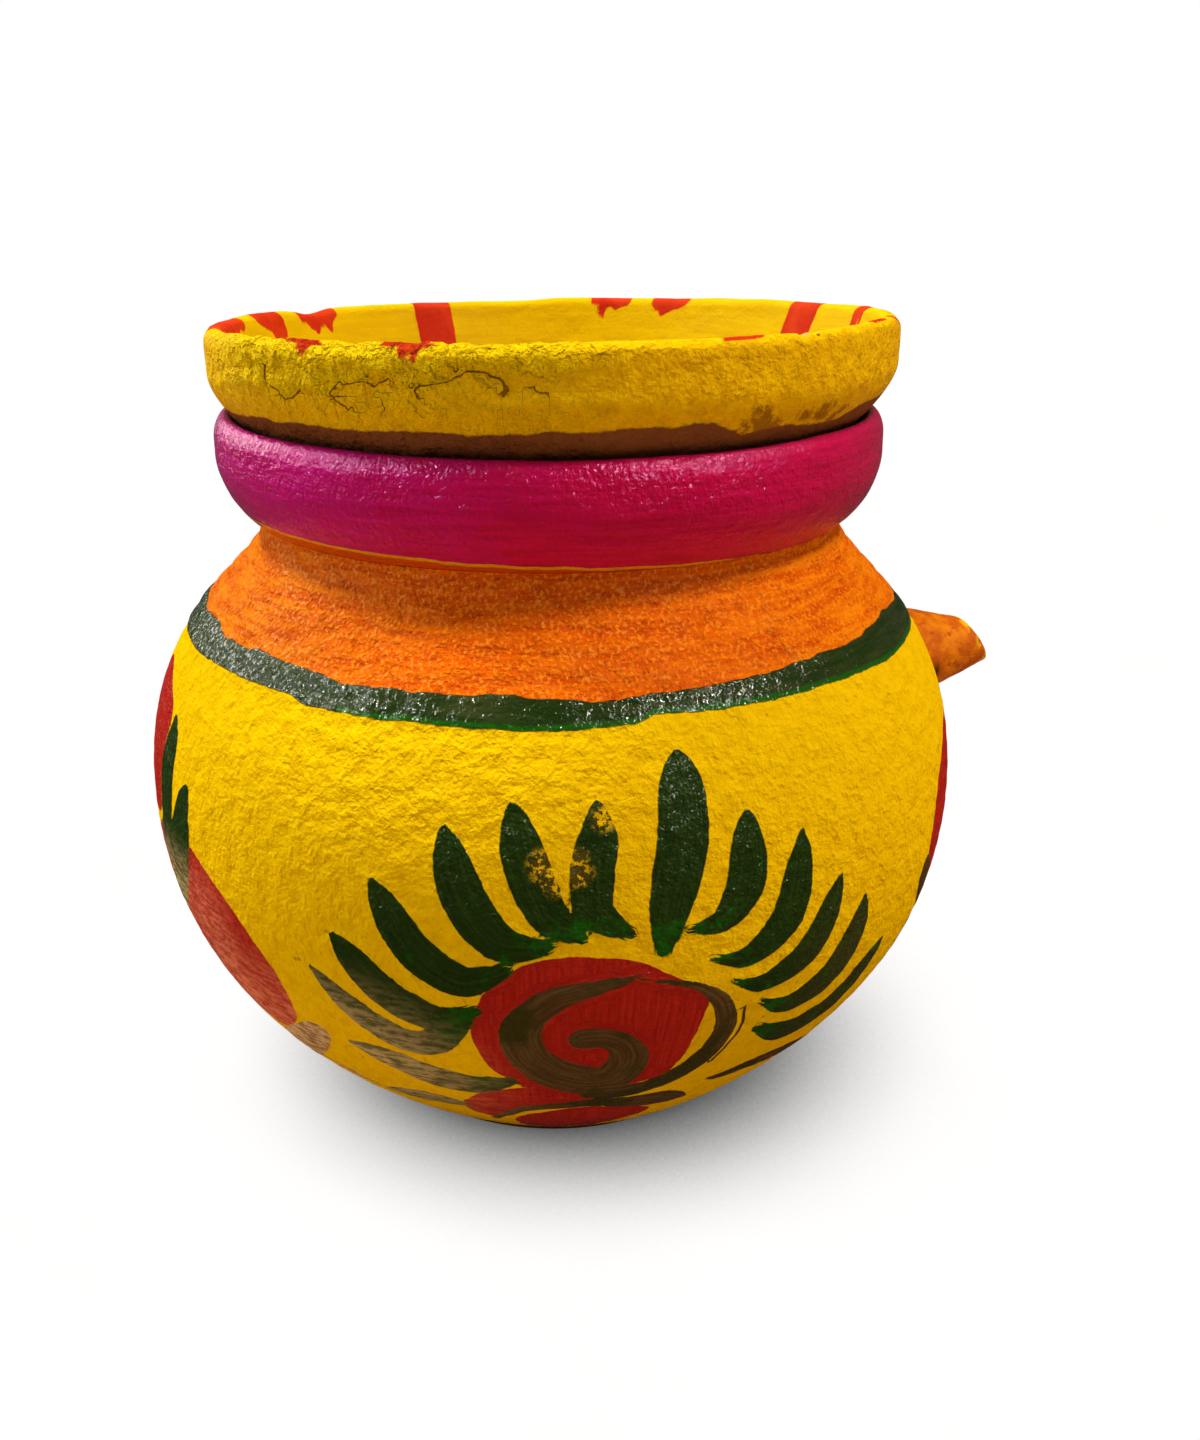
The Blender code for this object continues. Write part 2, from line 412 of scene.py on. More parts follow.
inner_neck = (INNER_NECK_RADIUS, INNER_NECK_HEIGHT)
inner_belly = (INNER_BELLY_RADIUS, BELLY_HEIGHT)
inner_floor = (FLOOR_RADIUS, FLOOR_HEIGHT)
under = np.array([(0.0, 0.0), (9.0, 0.0), (18.0, 0.0), (25.5, 0.0), (BASE_RADIUS - BASE_EDGE, 0.0)])
edge = arc((BASE_RADIUS - BASE_EDGE, BASE_EDGE), BASE_EDGE, BASE_EDGE, -60.0, -10.0, 2)
outside = even(WALL, 0.66)
tongue_tip = (NECK_RADIUS - 0.4, TONGUE_HEIGHT)
tongue = np.array([(NECK_RADIUS, 92.0), (NECK_RADIUS, 97.0), tongue_tip, (40.6, 98.6)])
mouth = np.array([(MOUTH_RADIUS, MOUTH_HEIGHT), (38.5, 95.5), (37.5, 92.0)])
inside = chain(
    even(curve(inner_neck, (INNER_NECK_RADIUS, 79.5), (INNER_BELLY_RADIUS, 74.0), inner_belly), 4.0),
    even(curve(inner_belly, (INNER_BELLY_RADIUS, 24.0), (34.0, FLOOR_HEIGHT + 2.0), inner_floor), 4.0),
)
cup = np.array([(15.0, FLOOR_HEIGHT), (6.0, FLOOR_HEIGHT), (0.0, FLOOR_HEIGHT)])
pot = Skin(chain(under, edge, outside, tongue, mouth, inside, cup), columns(0.62, 1.3))
first_painted = len(under) + len(edge)
painted = (pot.at >= first_painted) & (pot.at < first_painted + len(outside))
height = pot.points[:, 2]

brush = Brush(pot, on_pot, ("red", "dark", "green"))

# The leaves of the fan, from the top down, each as a half width and its line from the root.
MIDDLE_LEAF = [(12.4, 47.0), (13.2, 53.0), (14.7, 60.3), (15.0, 65.2), (15.0, 70.6)]
LEFT_LEAVES = (
    (2.65, [(8.4, 49.7), (4.4, 53.0), (4.3, 58.6), (4.9, 62.0), (4.9, 65.9)]),
    (2.7, [(3.0, 49.6), (-0.6, 52.3), (-3.0, 57.9), (-4.0, 61.8), (-4.9, 66.0)]),
    (2.85, [(-0.8, 48.4), (-6.2, 48.8), (-9.9, 53.6), (-11.6, 58.3), (-12.8, 63.0)]),
    (2.7, [(-5.6, 45.3), (-10.8, 43.2), (-16.0, 46.4), (-19.2, 51.3), (-21.6, 55.7)]),
    (2.7, [(-9.6, 38.8), (-14.5, 36.8), (-20.0, 39.3), (-24.2, 43.6), (-27.3, 47.4)]),
    (2.6, [(-11.0, 36.6), (-15.4, 32.6), (-20.1, 31.9), (-26.0, 35.9), (-31.3, 41.4)]),
    (3.1, [(-6.3, 25.2), (-12.0, 23.6), (-18.0, 24.5), (-23.5, 26.8), (-29.4, 28.6)]),
    (2.3, [(-15.0, 16.8), (-22.0, 17.0), (-31.6, 15.2)]),
)
RIGHT_LEAVES = (
    (2.75, [(15.4, 49.3), (19.6, 49.9), (22.5, 54.0), (22.8, 59.0), (23.1, 63.1)]),
    (2.7, [(18.6, 44.7), (23.5, 43.9), (28.4, 48.0), (29.9, 53.9), (30.6, 59.3)]),
    (2.5, [(22.0, 40.4), (26.5, 38.9), (32.4, 41.7), (35.2, 46.9), (36.9, 51.9)]),
    (2.9, [(26.8, 35.7), (31.8, 33.4), (38.2, 35.8), (41.1, 41.4), (42.0, 47.0)]),
)
LOWEST_RIGHT_LEAF = [(28.0, 30.2), (34.5, 27.2), (42.5, 28.6), (47.0, 33.2), (49.8, 37.2)]


def leaf_fan(turn):
    """A round red flower with a dark curl, under a fan of green leaves."""

    def at(stations):
        return [(station[0] + turn, *station[1:]) for station in stations]

    # The flower's disc, pointed at its right, and the two petals under it.
    disc = [(-10.6, 35.3), (-8.8, 40.9), (-6.1, 44.3), (-2.7, 46.3), (1.6, 47.0), (6.1, 46.6), (9.6, 45.8)]
    disc += [(12.7, 43.9), (15.3, 42.0), (18.8, 38.4), (18.7, 35.7), (18.1, 31.8), (16.9, 27.4)]
    disc += [(14.5, 24.4), (5.0, 22.6), (-4.2, 23.8), (-7.1, 26.1), (-9.2, 28.7)]
    left_petal = [(-15.7, 17.0), (-12.5, 20.5), (-8.7, 22.7), (-3.2, 23.6), (1.9, 22.6), (7.0, 20.2)]
    left_petal += [(2.0, 18.6), (-5.0, 17.4), (-11.0, 12.5), (-14.5, 13.5)]
    right_petal = [(-7.0, 13.4), (-2.0, 16.0), (4.0, 17.6), (12.0, 16.2), (17.0, 12.9), (12.0, 8.0)]
    right_petal += [(4.0, 4.0), (-5.0, 4.0), (-8.0, 9.0)]
    for outline in (disc, left_petal, right_petal):
        brush.patch("red", at(outline))
    # The curl, from its dry tail round to its rounded end.
    curl = [(9.7, 43.6, 0.4), (6.5, 42.9, 0.9), (2.9, 41.9, 1.4), (-0.3, 40.8, 1.9), (-2.8, 38.6, 2.2)]
    curl += [(-4.3, 36.0, 2.6), (-4.3, 33.0, 2.7), (-3.0, 29.9, 2.9), (-0.4, 27.2, 3.4), (3.2, 25.4, 3.8)]
    curl += [(6.8, 25.3, 3.6), (8.8, 27.4, 3.1), (9.4, 29.8, 2.6), (8.4, 32.3, 2.0), (6.1, 33.9, 1.8)]
    curl += [(3.4, 34.1, 2.0)]
    # The loop round the flower's right side, with a hair that strayed from the brush.
    loop = [(9.7, 43.2, 0.3), (16.0, 41.4, 0.5), (18.9, 39.4, 0.9), (20.9, 37.0, 1.3), (22.2, 33.6, 1.6)]
    loop += [(22.1, 30.8, 1.7), (20.5, 27.2, 1.9), (17.4, 24.1, 2.0), (13.4, 22.2, 2.0), (9.5, 21.6, 2.1)]
    loop += [(5.0, 21.8, 1.7)]
    stray = [(24.5, 35.4), (25.0, 32.5), (24.8, 30.4), (23.9, 28.4), (22.4, 25.1)]
    # The streak across the petals, the olive leaf beside it and the low stroke on the right.
    streak = [(-12.0, 11.5, 0.5), (-6.0, 16.6, 1.0), (0.0, 18.2, 1.2), (6.0, 18.8, 1.5), (12.0, 17.8, 2.0)]
    olive_leaf = [(9.0, 18.2, 1.6), (13.0, 17.7, 2.5), (17.5, 16.9, 2.7), (22.8, 15.1, 0.4)]
    low_stroke = [(24.0, 20.1, 0.3), (27.0, 19.8, 1.2), (33.6, 20.2, 1.9), (41.0, 19.2, 2.1)]
    low_stroke += [(52.0, 17.0, 0.8)]
    for stations in (curl, loop, streak, olive_leaf, low_stroke):
        brush.sweep("dark", at(stations))
    brush.hairline("stray", at(stray))
    brush.leaf("green", at(MIDDLE_LEAF), 3.2, blunt=4.0)
    for half_width, points in LEFT_LEAVES:
        brush.leaf("green", at(points), half_width)
    for half_width, points in RIGHT_LEAVES:
        brush.leaf("green", at(points), half_width, swell=1.0)
    brush.leaf("green", at(LOWEST_RIGHT_LEAF), 2.75)


def red_flower(middle, side):
    """A large red flower of broad petals with green strokes between them, mirrored by side."""

    def at(stations, flip=1.0):
        return [(middle + flip * side * station[0], *station[1:]) for station in stations]

    low_petal = [(30.0, 50.8), (33.7, 49.3), (38.6, 46.2), (42.5, 42.3), (45.7, 37.5), (46.4, 32.5)]
    low_petal += [(44.5, 28.2), (38.0, 24.5), (26.0, 25.0), (14.0, 32.0), (8.0, 41.0), (15.0, 48.5)]
    low_petal += [(23.0, 51.3)]
    high_petal = [(19.3, 60.0), (20.2, 65.7), (16.3, 68.2), (9.4, 70.3), (4.0, 69.0), (2.0, 60.0)]
    high_petal += [(5.0, 51.0), (17.0, 51.0)]
    upper_stroke = [(19.5, 47.0, 2.2), (21.4, 54.0, 2.8), (21.8, 58.5, 3.0), (22.6, 62.8, 2.3)]
    upper_stroke += [(22.2, 66.0, 0.6)]
    lower_stroke = [(21.0, 40.5, 2.7), (24.5, 46.0, 3.5), (26.5, 50.0, 3.4), (27.7, 53.0, 2.8)]
    lower_stroke += [(28.7, 56.5, 1.9), (29.6, 58.6, 0.8)]
    for flip in (1.0, -1.0):
        brush.patch("red", at(low_petal, flip))
        brush.patch("red", at(high_petal, flip))
        brush.sweep("green", at(upper_stroke, flip))
        brush.sweep("green", at(lower_stroke, flip))
        brush.leaf("green", at([(10.0, 24.0), (17.0, 19.0), (24.0, 12.0)], flip), 1.8)
    foot_petal = [(0.0, 37.0, 2.0), (0.5, 26.0, 6.0), (0.0, 12.0, 0.8)]
    heart = [(0.0, 40.0, 1.0), (-4.0, 44.0, 1.6), (0.0, 48.0, 1.8), (5.0, 44.0, 1.6), (1.0, 42.0, 1.0)]
    brush.sweep("red", at(foot_petal))
    brush.sweep("dark", at(heart))


leaf_fan(0.0)
leaf_fan(180.0)
red_flower(-84.0, 1.0)
red_flower(110.0, -1.0)
# Beside the left flower, a dab and a low stroke.
dab = [(-41.1, 26.8), (-38.6, 28.4), (-35.3, 29.9), (-33.1, 29.6), (-33.5, 27.0), (-38.4, 21.8)]
dab += [(-46.0, 17.0), (-50.0, 18.5), (-46.5, 23.5)]
brush.patch("dark", dab)
brush.sweep("dark", [(-41.0, 19.0, 0.5), (-36.0, 17.4, 1.0), (-32.0, 16.2, 0.4)])
# A tall petal under the spout, with brown strokes at its foot.
tall_petal = [(74.5, 62.0), (68.7, 60.2), (63.6, 56.2), (61.6, 51.6), (61.0, 48.0), (61.4, 44.5)]
tall_petal += [(65.0, 40.0), (72.0, 37.0), (80.0, 39.0), (86.0, 46.0), (85.0, 55.0), (80.0, 60.5)]
brush.patch("red", tall_petal)
brush.sweep("dark", [(60.6, 45.0, 0.6), (61.4, 42.0, 2.5), (64.5, 37.5, 2.2)])
brush.sweep("dark", [(62.8, 34.4, 0.5), (63.2, 31.8, 2.1), (62.0, 27.0, 1.4)])

# The band's edges wander round the pot as a freehand brush does, and its two ends overlap in a step.
around = pot.points * [1.0, 1.0, 0.0]
overlap = smooth(pot.angle, -31.0, -28.5) * smooth(pot.angle, 140.0, 100.0)
sunk = smooth(pot.angle, -38.0, -33.0) * smooth(pot.angle, 13.0, 10.5)
band_low = BAND_FOOT - 0.8 * sunk + 0.3 * ripple(around, 14.0, 3, 1.7)
band_sway = np.cos(2.0 * np.radians(pot.angle) + 0.28)
band_high = BAND_TOP - 0.85 * band_sway + 0.6 * ripple(around, 9.0, 3, 4.2)
pot.fields["band"] = np.where(painted, np.maximum(band_low - height, height - band_high) * BAND_SLANT, FAR)
pot.fields["shoulder"] = np.where(painted, height - 0.5 * (band_low + band_high), FAR)
# The shoulder's orange is redder in front than round the sides.
# Partly the paint's own tone, partly painted light where the side lamps fall.
pot.fields["pale"] = smooth(np.abs(pot.angle), 12.0, 60.0)
# Thin bright paint along the band's lower edge, past the overlap.
pot.fields["fringe"] = np.where(painted, height - band_low + 2.0 * (1.0 - overlap), FAR)
# Paint worn through on two leaves, where the ground shows: spots of (angle, height, size).
WORN_SPOTS = ((-1.0, 58.6, 1.7), (0.0, 56.6, 1.3), (2.6, 57.8, 1.4), (2.4, 59.6, 1.1), (5.6, 64.0, 1.2))
wear = np.full(len(pot.points), 4.0)
for angle, up, size in WORN_SPOTS:
    wear = np.minimum(wear, np.linalg.norm(pot.points - on_pot(angle, up), axis=1) / size)
pot.fields["wear"] = wear

# Painted sheen low on the left, where glossy strokes and the limb petal would reflect the floor.
low_left = np.linalg.norm((pot.points - on_pot(-34.0, 24.0)) * [1.0, 1.0, 1.3], axis=1)
limb_petal = smooth(pot.angle, -42.0, -52.0) * smooth(pot.angle, -88.0, -66.0) * smooth(height, 52.0, 42.0)
pot.fields["painted_sheen"] = smooth(low_left, 30.0, 8.0) + 0.8 * limb_petal

# The fan's right side was brushed with brown left in the green.
pot.fields["browned"] = smooth(pot.angle, 26.0, 42.0) * smooth(height, 54.0, 40.0) * (pot.angle < 75.0)

# Bare clay inside the pot and under its foot.
pot.fields["bare"] = np.where(painted, 0.0, 1.0)

# Hand-thrown unevenness: a slow wobble, the throwing rings of the shoulder and the paint's own lumps.
RING_PITCH = 2.7
wobble = 0.22 * ripple(pot.points, 30.0, 2, 3.0)
ring_turn = 2.0 * math.pi * (height / RING_PITCH + pot.angle / 360.0)
rings = np.sin(ring_turn + 1.5 * ripple(pot.points, 18.0, 2, 8.0))
rings = 0.075 * rings * smooth(height, 70.0, 79.0) + 0.02 * rings
lumps = 0.05 * ripple(pot.points, 2.4, 3, 6.0)
band_relief = 0.16 * smooth(-pot.fields["band"], -0.25, 0.5)
stroke_relief = 0.09 * smooth(-np.minimum(pot.fields["green"], pot.fields["dark"]), -0.3, 0.4)
pot.push(np.where(painted, wobble + rings + lumps + band_relief + stroke_relief, 0.5 * wobble))
pot.points[:, 2] = np.maximum(pot.points[:, 2], 0.0)


# The rim collar

flank_start = (NECK_RADIUS + 0.1, COLLAR_BOTTOM)
crest_half_width = COLLAR_RADIUS - COLLAR_CREST_RADIUS
crest_half_height = COLLAR_CREST - COLLAR_SHOULDER
collar_line = even(chain(
    curve(flank_start, (45.0, 91.0), (COLLAR_RADIUS, 95.0), (COLLAR_RADIUS, 99.0)),
    arc((COLLAR_CREST_RADIUS, COLLAR_SHOULDER), crest_half_width, crest_half_height, 0.0, 90.0),
    curve((COLLAR_CREST_RADIUS, COLLAR_CREST), (45.0, COLLAR_CREST), (43.9, 101.5), (NECK_RADIUS, 99.3)),
), 0.5)
collar_outline = np.vstack([collar_line, [(COLLAR_SEAT_RADIUS, 97.0), (COLLAR_SEAT_RADIUS, 91.5)]])
collar = Skin(collar_outline, columns(0.7, 1.4), closed=True)
bulge = 0.16 * ripple(collar.points, 16.0, 3, 12.0) + 0.035 * ripple(collar.points, 2.8, 3, 15.0)
collar.push(np.where(off_axis(collar.points) > NECK_RADIUS + 0.8, bulge, 0.0))
crest_share = smooth(collar.points[:, 2], 94.0, 102.0)
collar_turn = np.radians(collar.angle)
sag = COLLAR_SAG * np.maximum(np.cos(collar_turn), 0.0) ** 1.5
collar.points[:, 2] += crest_share * (COLLAR_RISE * np.sin(collar_turn) - sag)
collar.fields["foot"] = collar.points[:, 2] - COLLAR_BOTTOM + 1.5 * np.sin(collar_turn)
# Painted shade on the collar's crest, where the lid overhangs it.
under_lid = smooth(off_axis(collar.points), 46.5, 45.3)
collar.fields["lid_shade"] = under_lid * smooth(collar.points[:, 2], 100.0, 102.0)
collar.fields["seat"] = np.where(collar.at > len(collar_line) * COLLAR_SEAT_START, 1.0, 0.0)


# The saucer lid

lip = arc((LID_RADIUS - LID_LIP, LID_TOP - LID_LIP), LID_LIP, LID_LIP, 0.0, 180.0)
lid_under = np.array([(radius, LID_FOOT) for radius in (0.0, 12.0, 24.0, LID_FOOT_RADIUS - 1.0)])
bowl_foot = (LID_FOOT_RADIUS, LID_FOOT + 0.4)
lid_bowl = curve(bowl_foot, (42.5, 99.6), (LID_RADIUS, 107.3), (LID_RADIUS, LID_WALL_FOOT))
inner_foot = (LID_INNER_FOOT_RADIUS, LID_INNER_FOOT)
lid_well = chain(
    np.array([(LID_INNER_RADIUS, LID_TOP - LID_LIP - 0.4), inner_foot]),
    curve(inner_foot, (41.0, 104.0), (38.0, 102.0), (LID_FLOOR_RADIUS, LID_FLOOR)),
)
lid_floor = np.array([(radius, LID_FLOOR) for radius in (22.0, 12.0, 0.0)])
lid_outline = chain(lid_under, even(chain(lid_bowl, lip, lid_well), 0.6), lid_floor)
lid = Skin(lid_outline, columns(0.7, 1.3))
lid_radius = off_axis(lid.points)
lid_height = lid.points[:, 2]
outer_side = lid.at <= int(np.argmax(lid_outline[:, 1]))


def over_lip(height):
    """How far a height on the lip lies from the lip's own middle line, across the lid."""
    over = np.clip((height - LID_TOP + LID_LIP) / LID_LIP, 0.0, 1.0)
    return LID_LIP * np.sqrt(1.0 - over**2)


def on_dish(angle, height):
    """A point on the dish's leaning inner wall, or on the inner half of its lip."""
    lip_foot = LID_TOP - LID_LIP
    wall = np.interp(height, [LID_INNER_FOOT, lip_foot], [LID_INNER_FOOT_RADIUS, LID_INNER_RADIUS])
    return spot(angle, LID_RADIUS - LID_LIP - over_lip(height) if height > lip_foot else wall, height)


def on_lid_outside(angle, height):
    """A point on the lid's outer wall or on the outer half of its lip."""
    return spot(angle, LID_RADIUS - LID_LIP + over_lip(height), height)


rim_brush = Brush(lid, on_dish, ("red",))


def rim_stroke(first, last, lengths, lean=0.0):
    """A stroke down from the rim between two angles, as strands that each run out at their own length."""
    pitch = (last - first) / len(lengths)
    strand = 0.5 * abs(math.radians(pitch)) * LID_INNER_RADIUS
    for place, length in enumerate(lengths):
        start = first + (place + 0.5) * pitch
        top = (start, LID_TOP, 1.2 * strand)
        middle = (start + 0.5 * lean, LID_TOP - 0.5 * length, 1.2 * strand)
        foot = (start + lean, LID_TOP - length, 0.7 * strand)
        rim_brush.sweep("red", [top, middle, foot])


# Red strokes down the dish's wall. A few ran out of paint and are ragged at the foot.
rim_stroke(210.6, 202.6, (12.0, 13.0, 13.0, 12.5, 12.0))
rim_stroke(256.6, 246.7, (1.2, 2.2, 3.4, 3.8, 3.0), -1.0)
rim_stroke(240.7, 230.2, (1.4, 2.0, 2.8, 2.2, 2.9, 1.3))
rim_stroke(282.0, 262.0, (1.2, 1.6, 2.0, 1.6, 1.0, 0.7))
rim_stroke(171.5, 163.0, (1.1, 3.4, 1.3, 1.7, 1.2, 0.9))
rim_stroke(158.2, 149.8, (1.6, 2.6, 2.0, 1.5, 1.3, 0.8))
rim_stroke(123.5, 115.0, (12.0, 12.5, 12.5, 12.0, 11.0), 1.5)
rim_stroke(100.5, 96.0, (3.0, 4.0, 2.2))
for angle in (62.0, 27.5, -20.5, -38.5):
    rim_stroke(angle - 3.5, angle + 3.5, (11.0, 12.0, 12.0, 10.5), 2.0)
lid.fields["red"][outer_side & (lid_height < LID_TOP - 0.5)] = FAR
# Where the front strokes began, red is smeared along the lip and hangs over it in short runs.
rim_brush.place = on_lid_outside
for first, last, middle_width in ((-40.7, -33.4, 0.35), (-24.3, -15.4, 0.38), (23.5, 29.8, 0.2)):
    middle = (0.5 * (first + last), SMEAR_HEIGHT, middle_width)
    rim_brush.sweep("red", [(first, SMEAR_HEIGHT, 0.15), middle, (last, SMEAR_HEIGHT, 0.15)])
for angle, half_width, foot in (
    (-38.6, 0.3, 115.2), (-37.4, 0.55, 114.1), (-36.2, 0.4, 115.0), (-22.2, 0.3, 115.3),
    (-21.0, 0.4, 114.8), (-20.0, 0.5, 113.8), (-18.9, 0.4, 114.5), (-17.8, 0.3, 115.0),
    (74.0, 0.8, 114.6), (76.0, 0.8, 114.2),
):
    rim_brush.sweep("red", [(angle, LID_TOP, half_width), (angle + 0.2, foot, 0.12)])


def jagged(points):
    """The same line broken into short crooked steps."""
    line = []
    for (angle, up), (next_angle, next_up) in zip(points, points[1:]):
        for t in (0.0, 0.25, 0.5, 0.75):
            a = angle + (next_angle - angle) * t
            h = up + (next_up - up) * t
            aside = 0.9 * noise.noise((2.3 * a, 2.9 * h, 3.0))
            line.append((a + aside, h + 0.55 * noise.noise((2.1 * a, 2.7 * h, 7.0))))
    line.append(points[-1])
    return line


# Cracks where the thick coat pulled apart, on the wall's front left.
for crack in (
    [(-45.2, 113.4), (-45.5, 111.4), (-42.7, 110.7), (-42.2, 109.7), (-40.6, 109.7), (-38.3, 111.0)],
    [(-32.4, 111.1), (-29.9, 112.0), (-26.2, 112.3), (-25.8, 111.6), (-23.0, 112.7)],
    [(-19.1, 110.3), (-18.8, 111.7), (-15.8, 112.1), (-12.9, 113.0), (-12.6, 113.6), (-9.5, 113.4),
     (-6.9, 112.7)],
    [(-6.9, 112.7), (-6.7, 111.5), (-7.3, 110.7)],
    [(-32.4, 110.2), (-30.1, 109.2), (-29.4, 108.6)],
    [(-24.5, 110.3), (-24.0, 109.4)],
    [(-3.3, 111.8), (-1.0, 111.1)],
):
    rim_brush.hairline("crack", jagged(crack))

# Where the yellow paint stops on the outside, and bare clay begins. It is patchy on the right.
front_right = smooth(lid.angle, 22.0, 30.0) * smooth(lid.angle, 60.0, 48.0)
lid_around = lid.points * [1.0, 1.0, 0.0]
paint_edge = LID_PAINT_EDGE + 0.5 * ripple(lid_around, 7.0, 3, 21.0) - 1.5 * front_right
lid.fields["bare"] = np.where(outer_side, np.clip(paint_edge - lid_height, -FAR, FAR), -FAR)
lid.fields["patchy"] = front_right * outer_side * smooth(lid_height, 109.5, 106.5)


def rim_bump(angle, spread):
    """A rise of 1 at one angle of the rim, fading over the spread."""
    return np.exp(-(wrapped(lid.angle - angle) / spread) ** 2)


# A wavy rim with a dip at the back left.
dip = 0.45 * rim_bump(245.0, 22.0) - 0.75 * rim_bump(236.0, 4.5)
lid.points[:, 2] += smooth(lid_height, 108.0, 115.5) * (0.3 * ripple(lid_around, 22.0, 2, 31.0) + dip)
# A coat that is thick and lumpy at the front left, above a ledge that follows these angles and heights.
lumpy = smooth(lid.angle, -75.0, -45.0) * smooth(lid.angle, 15.0, -5.0) * outer_side
ledge_angles = [-70.0, -46.0, -42.0, -38.0, -33.0, -27.0, -22.0, -19.0, -16.0, -12.0, -7.0, 2.0, 12.0]
ledge_heights = [109.5, 111.0, 109.6, 111.0, 110.4, 112.0, 112.6, 110.6, 112.1, 113.2, 112.8, 113.0, 114.5]
ledge = np.interp(lid.angle, ledge_angles, ledge_heights) + 0.5 * ripple(lid_around, 2.6, 3, 26.0)
thick = lumpy * smooth(lid_height, ledge - 0.2, ledge + 0.3)
coat = 0.14 * ripple(lid.points, 9.0, 3, 24.0) + 0.04 * ripple(lid.points, 2.6, 3, 27.0)
coat += 0.36 * thick + (0.08 * lumpy + 0.36 * thick) * ripple(lid.points, 2.0, 3, 29.0)
coat -= 0.15 * smooth(-np.abs(lid.fields["crack"]), -0.8, 0.0)
lid.fields["lumpy"] = 0.4 * lumpy + 0.6 * thick
lid.push(np.where(lid_radius > LID_FLOOR_RADIUS - 1.0, coat, 0.0))
lid.fields["inner"] = np.where(outer_side, 0.0, 1.0)
# The dish's floor is a darker yellow towards its middle.
lid.fields["well"] = np.where(outer_side, 0.0, smooth(lid_radius, 42.0, 37.0))


def rim_damage(angle, size, seed):
    """The distance outside a ragged spot on the rim."""
    middle = spot(angle, LID_RADIUS - LID_LIP, LID_TOP)
    apart = np.linalg.norm(lid.points - middle, axis=1) - size - 0.6 * ripple(lid.points, 1.5, 2, seed)
    return np.clip(apart, -FAR, FAR)


# A chip out of the rim's front right: a pale scrape, and a hole beside it.
lid.fields["chip"] = rim_damage(38.4, 1.0, 35.0)
lid.fields["hole"] = rim_damage(41.6, 0.9, 36.0)
lid.push(-0.3 * smooth(-lid.fields["chip"], -0.2, 0.6) - 0.8 * smooth(-lid.fields["hole"], -0.2, 0.6))

high_side = Vector(spot(90.0, 1.0, 0.0))
tilt_axis = Vector((high_side.y, -high_side.x, 0.0))
pivot = Matrix.Translation(Vector((0.0, 0.0, LID_WALL_FOOT * MM)))
tipped = pivot @ Matrix.Rotation(LID_TILT, 4, tilt_axis) @ pivot.inverted()
lid_tip = Matrix.Translation(high_side * LID_OFFSET * MM) @ tipped


# The spout with its luting smeared onto the wall

def spout_point(angle, along, radius_root, radius_tip, flare):
    """A point on a skin that runs from the wall, along 0, to the slanted mouth, along 1."""
    smear = flare * (1.0 - min(along / LUTING_REACH, 1.0)) ** 2
    radius = radius_root + (radius_tip - radius_root) * along + smear
    foot = radius_root + flare
    wall = wall_radius(SPOUT_HEIGHT + foot * math.sin(angle)) - SPOUT_SINK
    root = math.sqrt(wall**2 - (foot * math.cos(angle)) ** 2)
    mouth = SPOUT_TIP - math.tan(SPOUT_SLANT) * radius_tip * math.sin(angle)
    height = SPOUT_HEIGHT + SPOUT_RISE * along + radius * math.sin(angle)
    return (root + (mouth - root) * along, radius * math.cos(angle), height)


spout_angles = np.linspace(0.0, 2.0 * math.pi, SPOUT_COLUMNS, endpoint=False)
spout_rows = []


def spout_row(*shape):
    spout_rows.append([spout_point(angle, *shape) for angle in spout_angles])


for along in np.linspace(0.0, LIP_START, SPOUT_ROWS):
    spout_row(along, SPOUT_ROOT_RADIUS, SPOUT_TIP_RADIUS, LUTING_WIDTH)
for share in np.linspace(0.0, 1.0, LIP_ROWS + 2)[1:-1]:
    inward = 0.5 - 0.5 * math.cos(math.pi * share)
    lip_radius = SPOUT_TIP_RADIUS + (BORE_TIP_RADIUS - SPOUT_TIP_RADIUS) * inward
    spout_row(LIP_START + LIP_SPAN * math.sin(math.pi * share), SPOUT_ROOT_RADIUS, lip_radius, 0.0)
outer_rows = len(spout_rows)
for along in np.linspace(LIP_START, 0.0, BORE_ROWS):
    spout_row(along, BORE_ROOT_RADIUS, BORE_TIP_RADIUS, 0.0)


def build_spout(material):
    rows = np.array(spout_rows)
    count, ring = rows.shape[:2]
    points = rows.reshape(-1, 3)
    row_of = np.repeat(np.arange(count), ring)
    lumpy = 0.12 * ripple(points, 6.0, 3, 41.0) + 0.05 * ripple(points, 2.0, 3, 43.0)
    middle = points * [1.0, 0.0, 0.0] + [0.0, 0.0, SPOUT_HEIGHT]
    away = points - middle
    away /= np.linalg.norm(away, axis=1)[:, None]
    points = points + away * (lumpy * (row_of < outer_rows))[:, None]
    faces = []
    for r in range(count):
        after = (r + 1) % count
        for i in range(ring):
            j = (i + 1) % ring
            faces.append((r * ring + i, r * ring + j, after * ring + j, after * ring + i))
    fields = {
        "bore": row_of >= outer_rows - 1,
        "under": smooth(-away[:, 2], -0.1, 0.35),
        "reach": np.clip(row_of / (SPOUT_ROWS - 1), 0.0, 1.0),
    }
    return add_piece("spout_skin", points, faces, fields, material)


# Materials

def srgb(red, green, blue):
    """A picture colour, 0 to 255, as the linear colour that shading uses."""
    shares = [value / 255.0 for value in (red, green, blue)]
    linear = [v / 12.92 if v <= 0.04045 else ((v + 0.055) / 1.055) ** 2.4 for v in shares]
    return (*linear, 1.0)


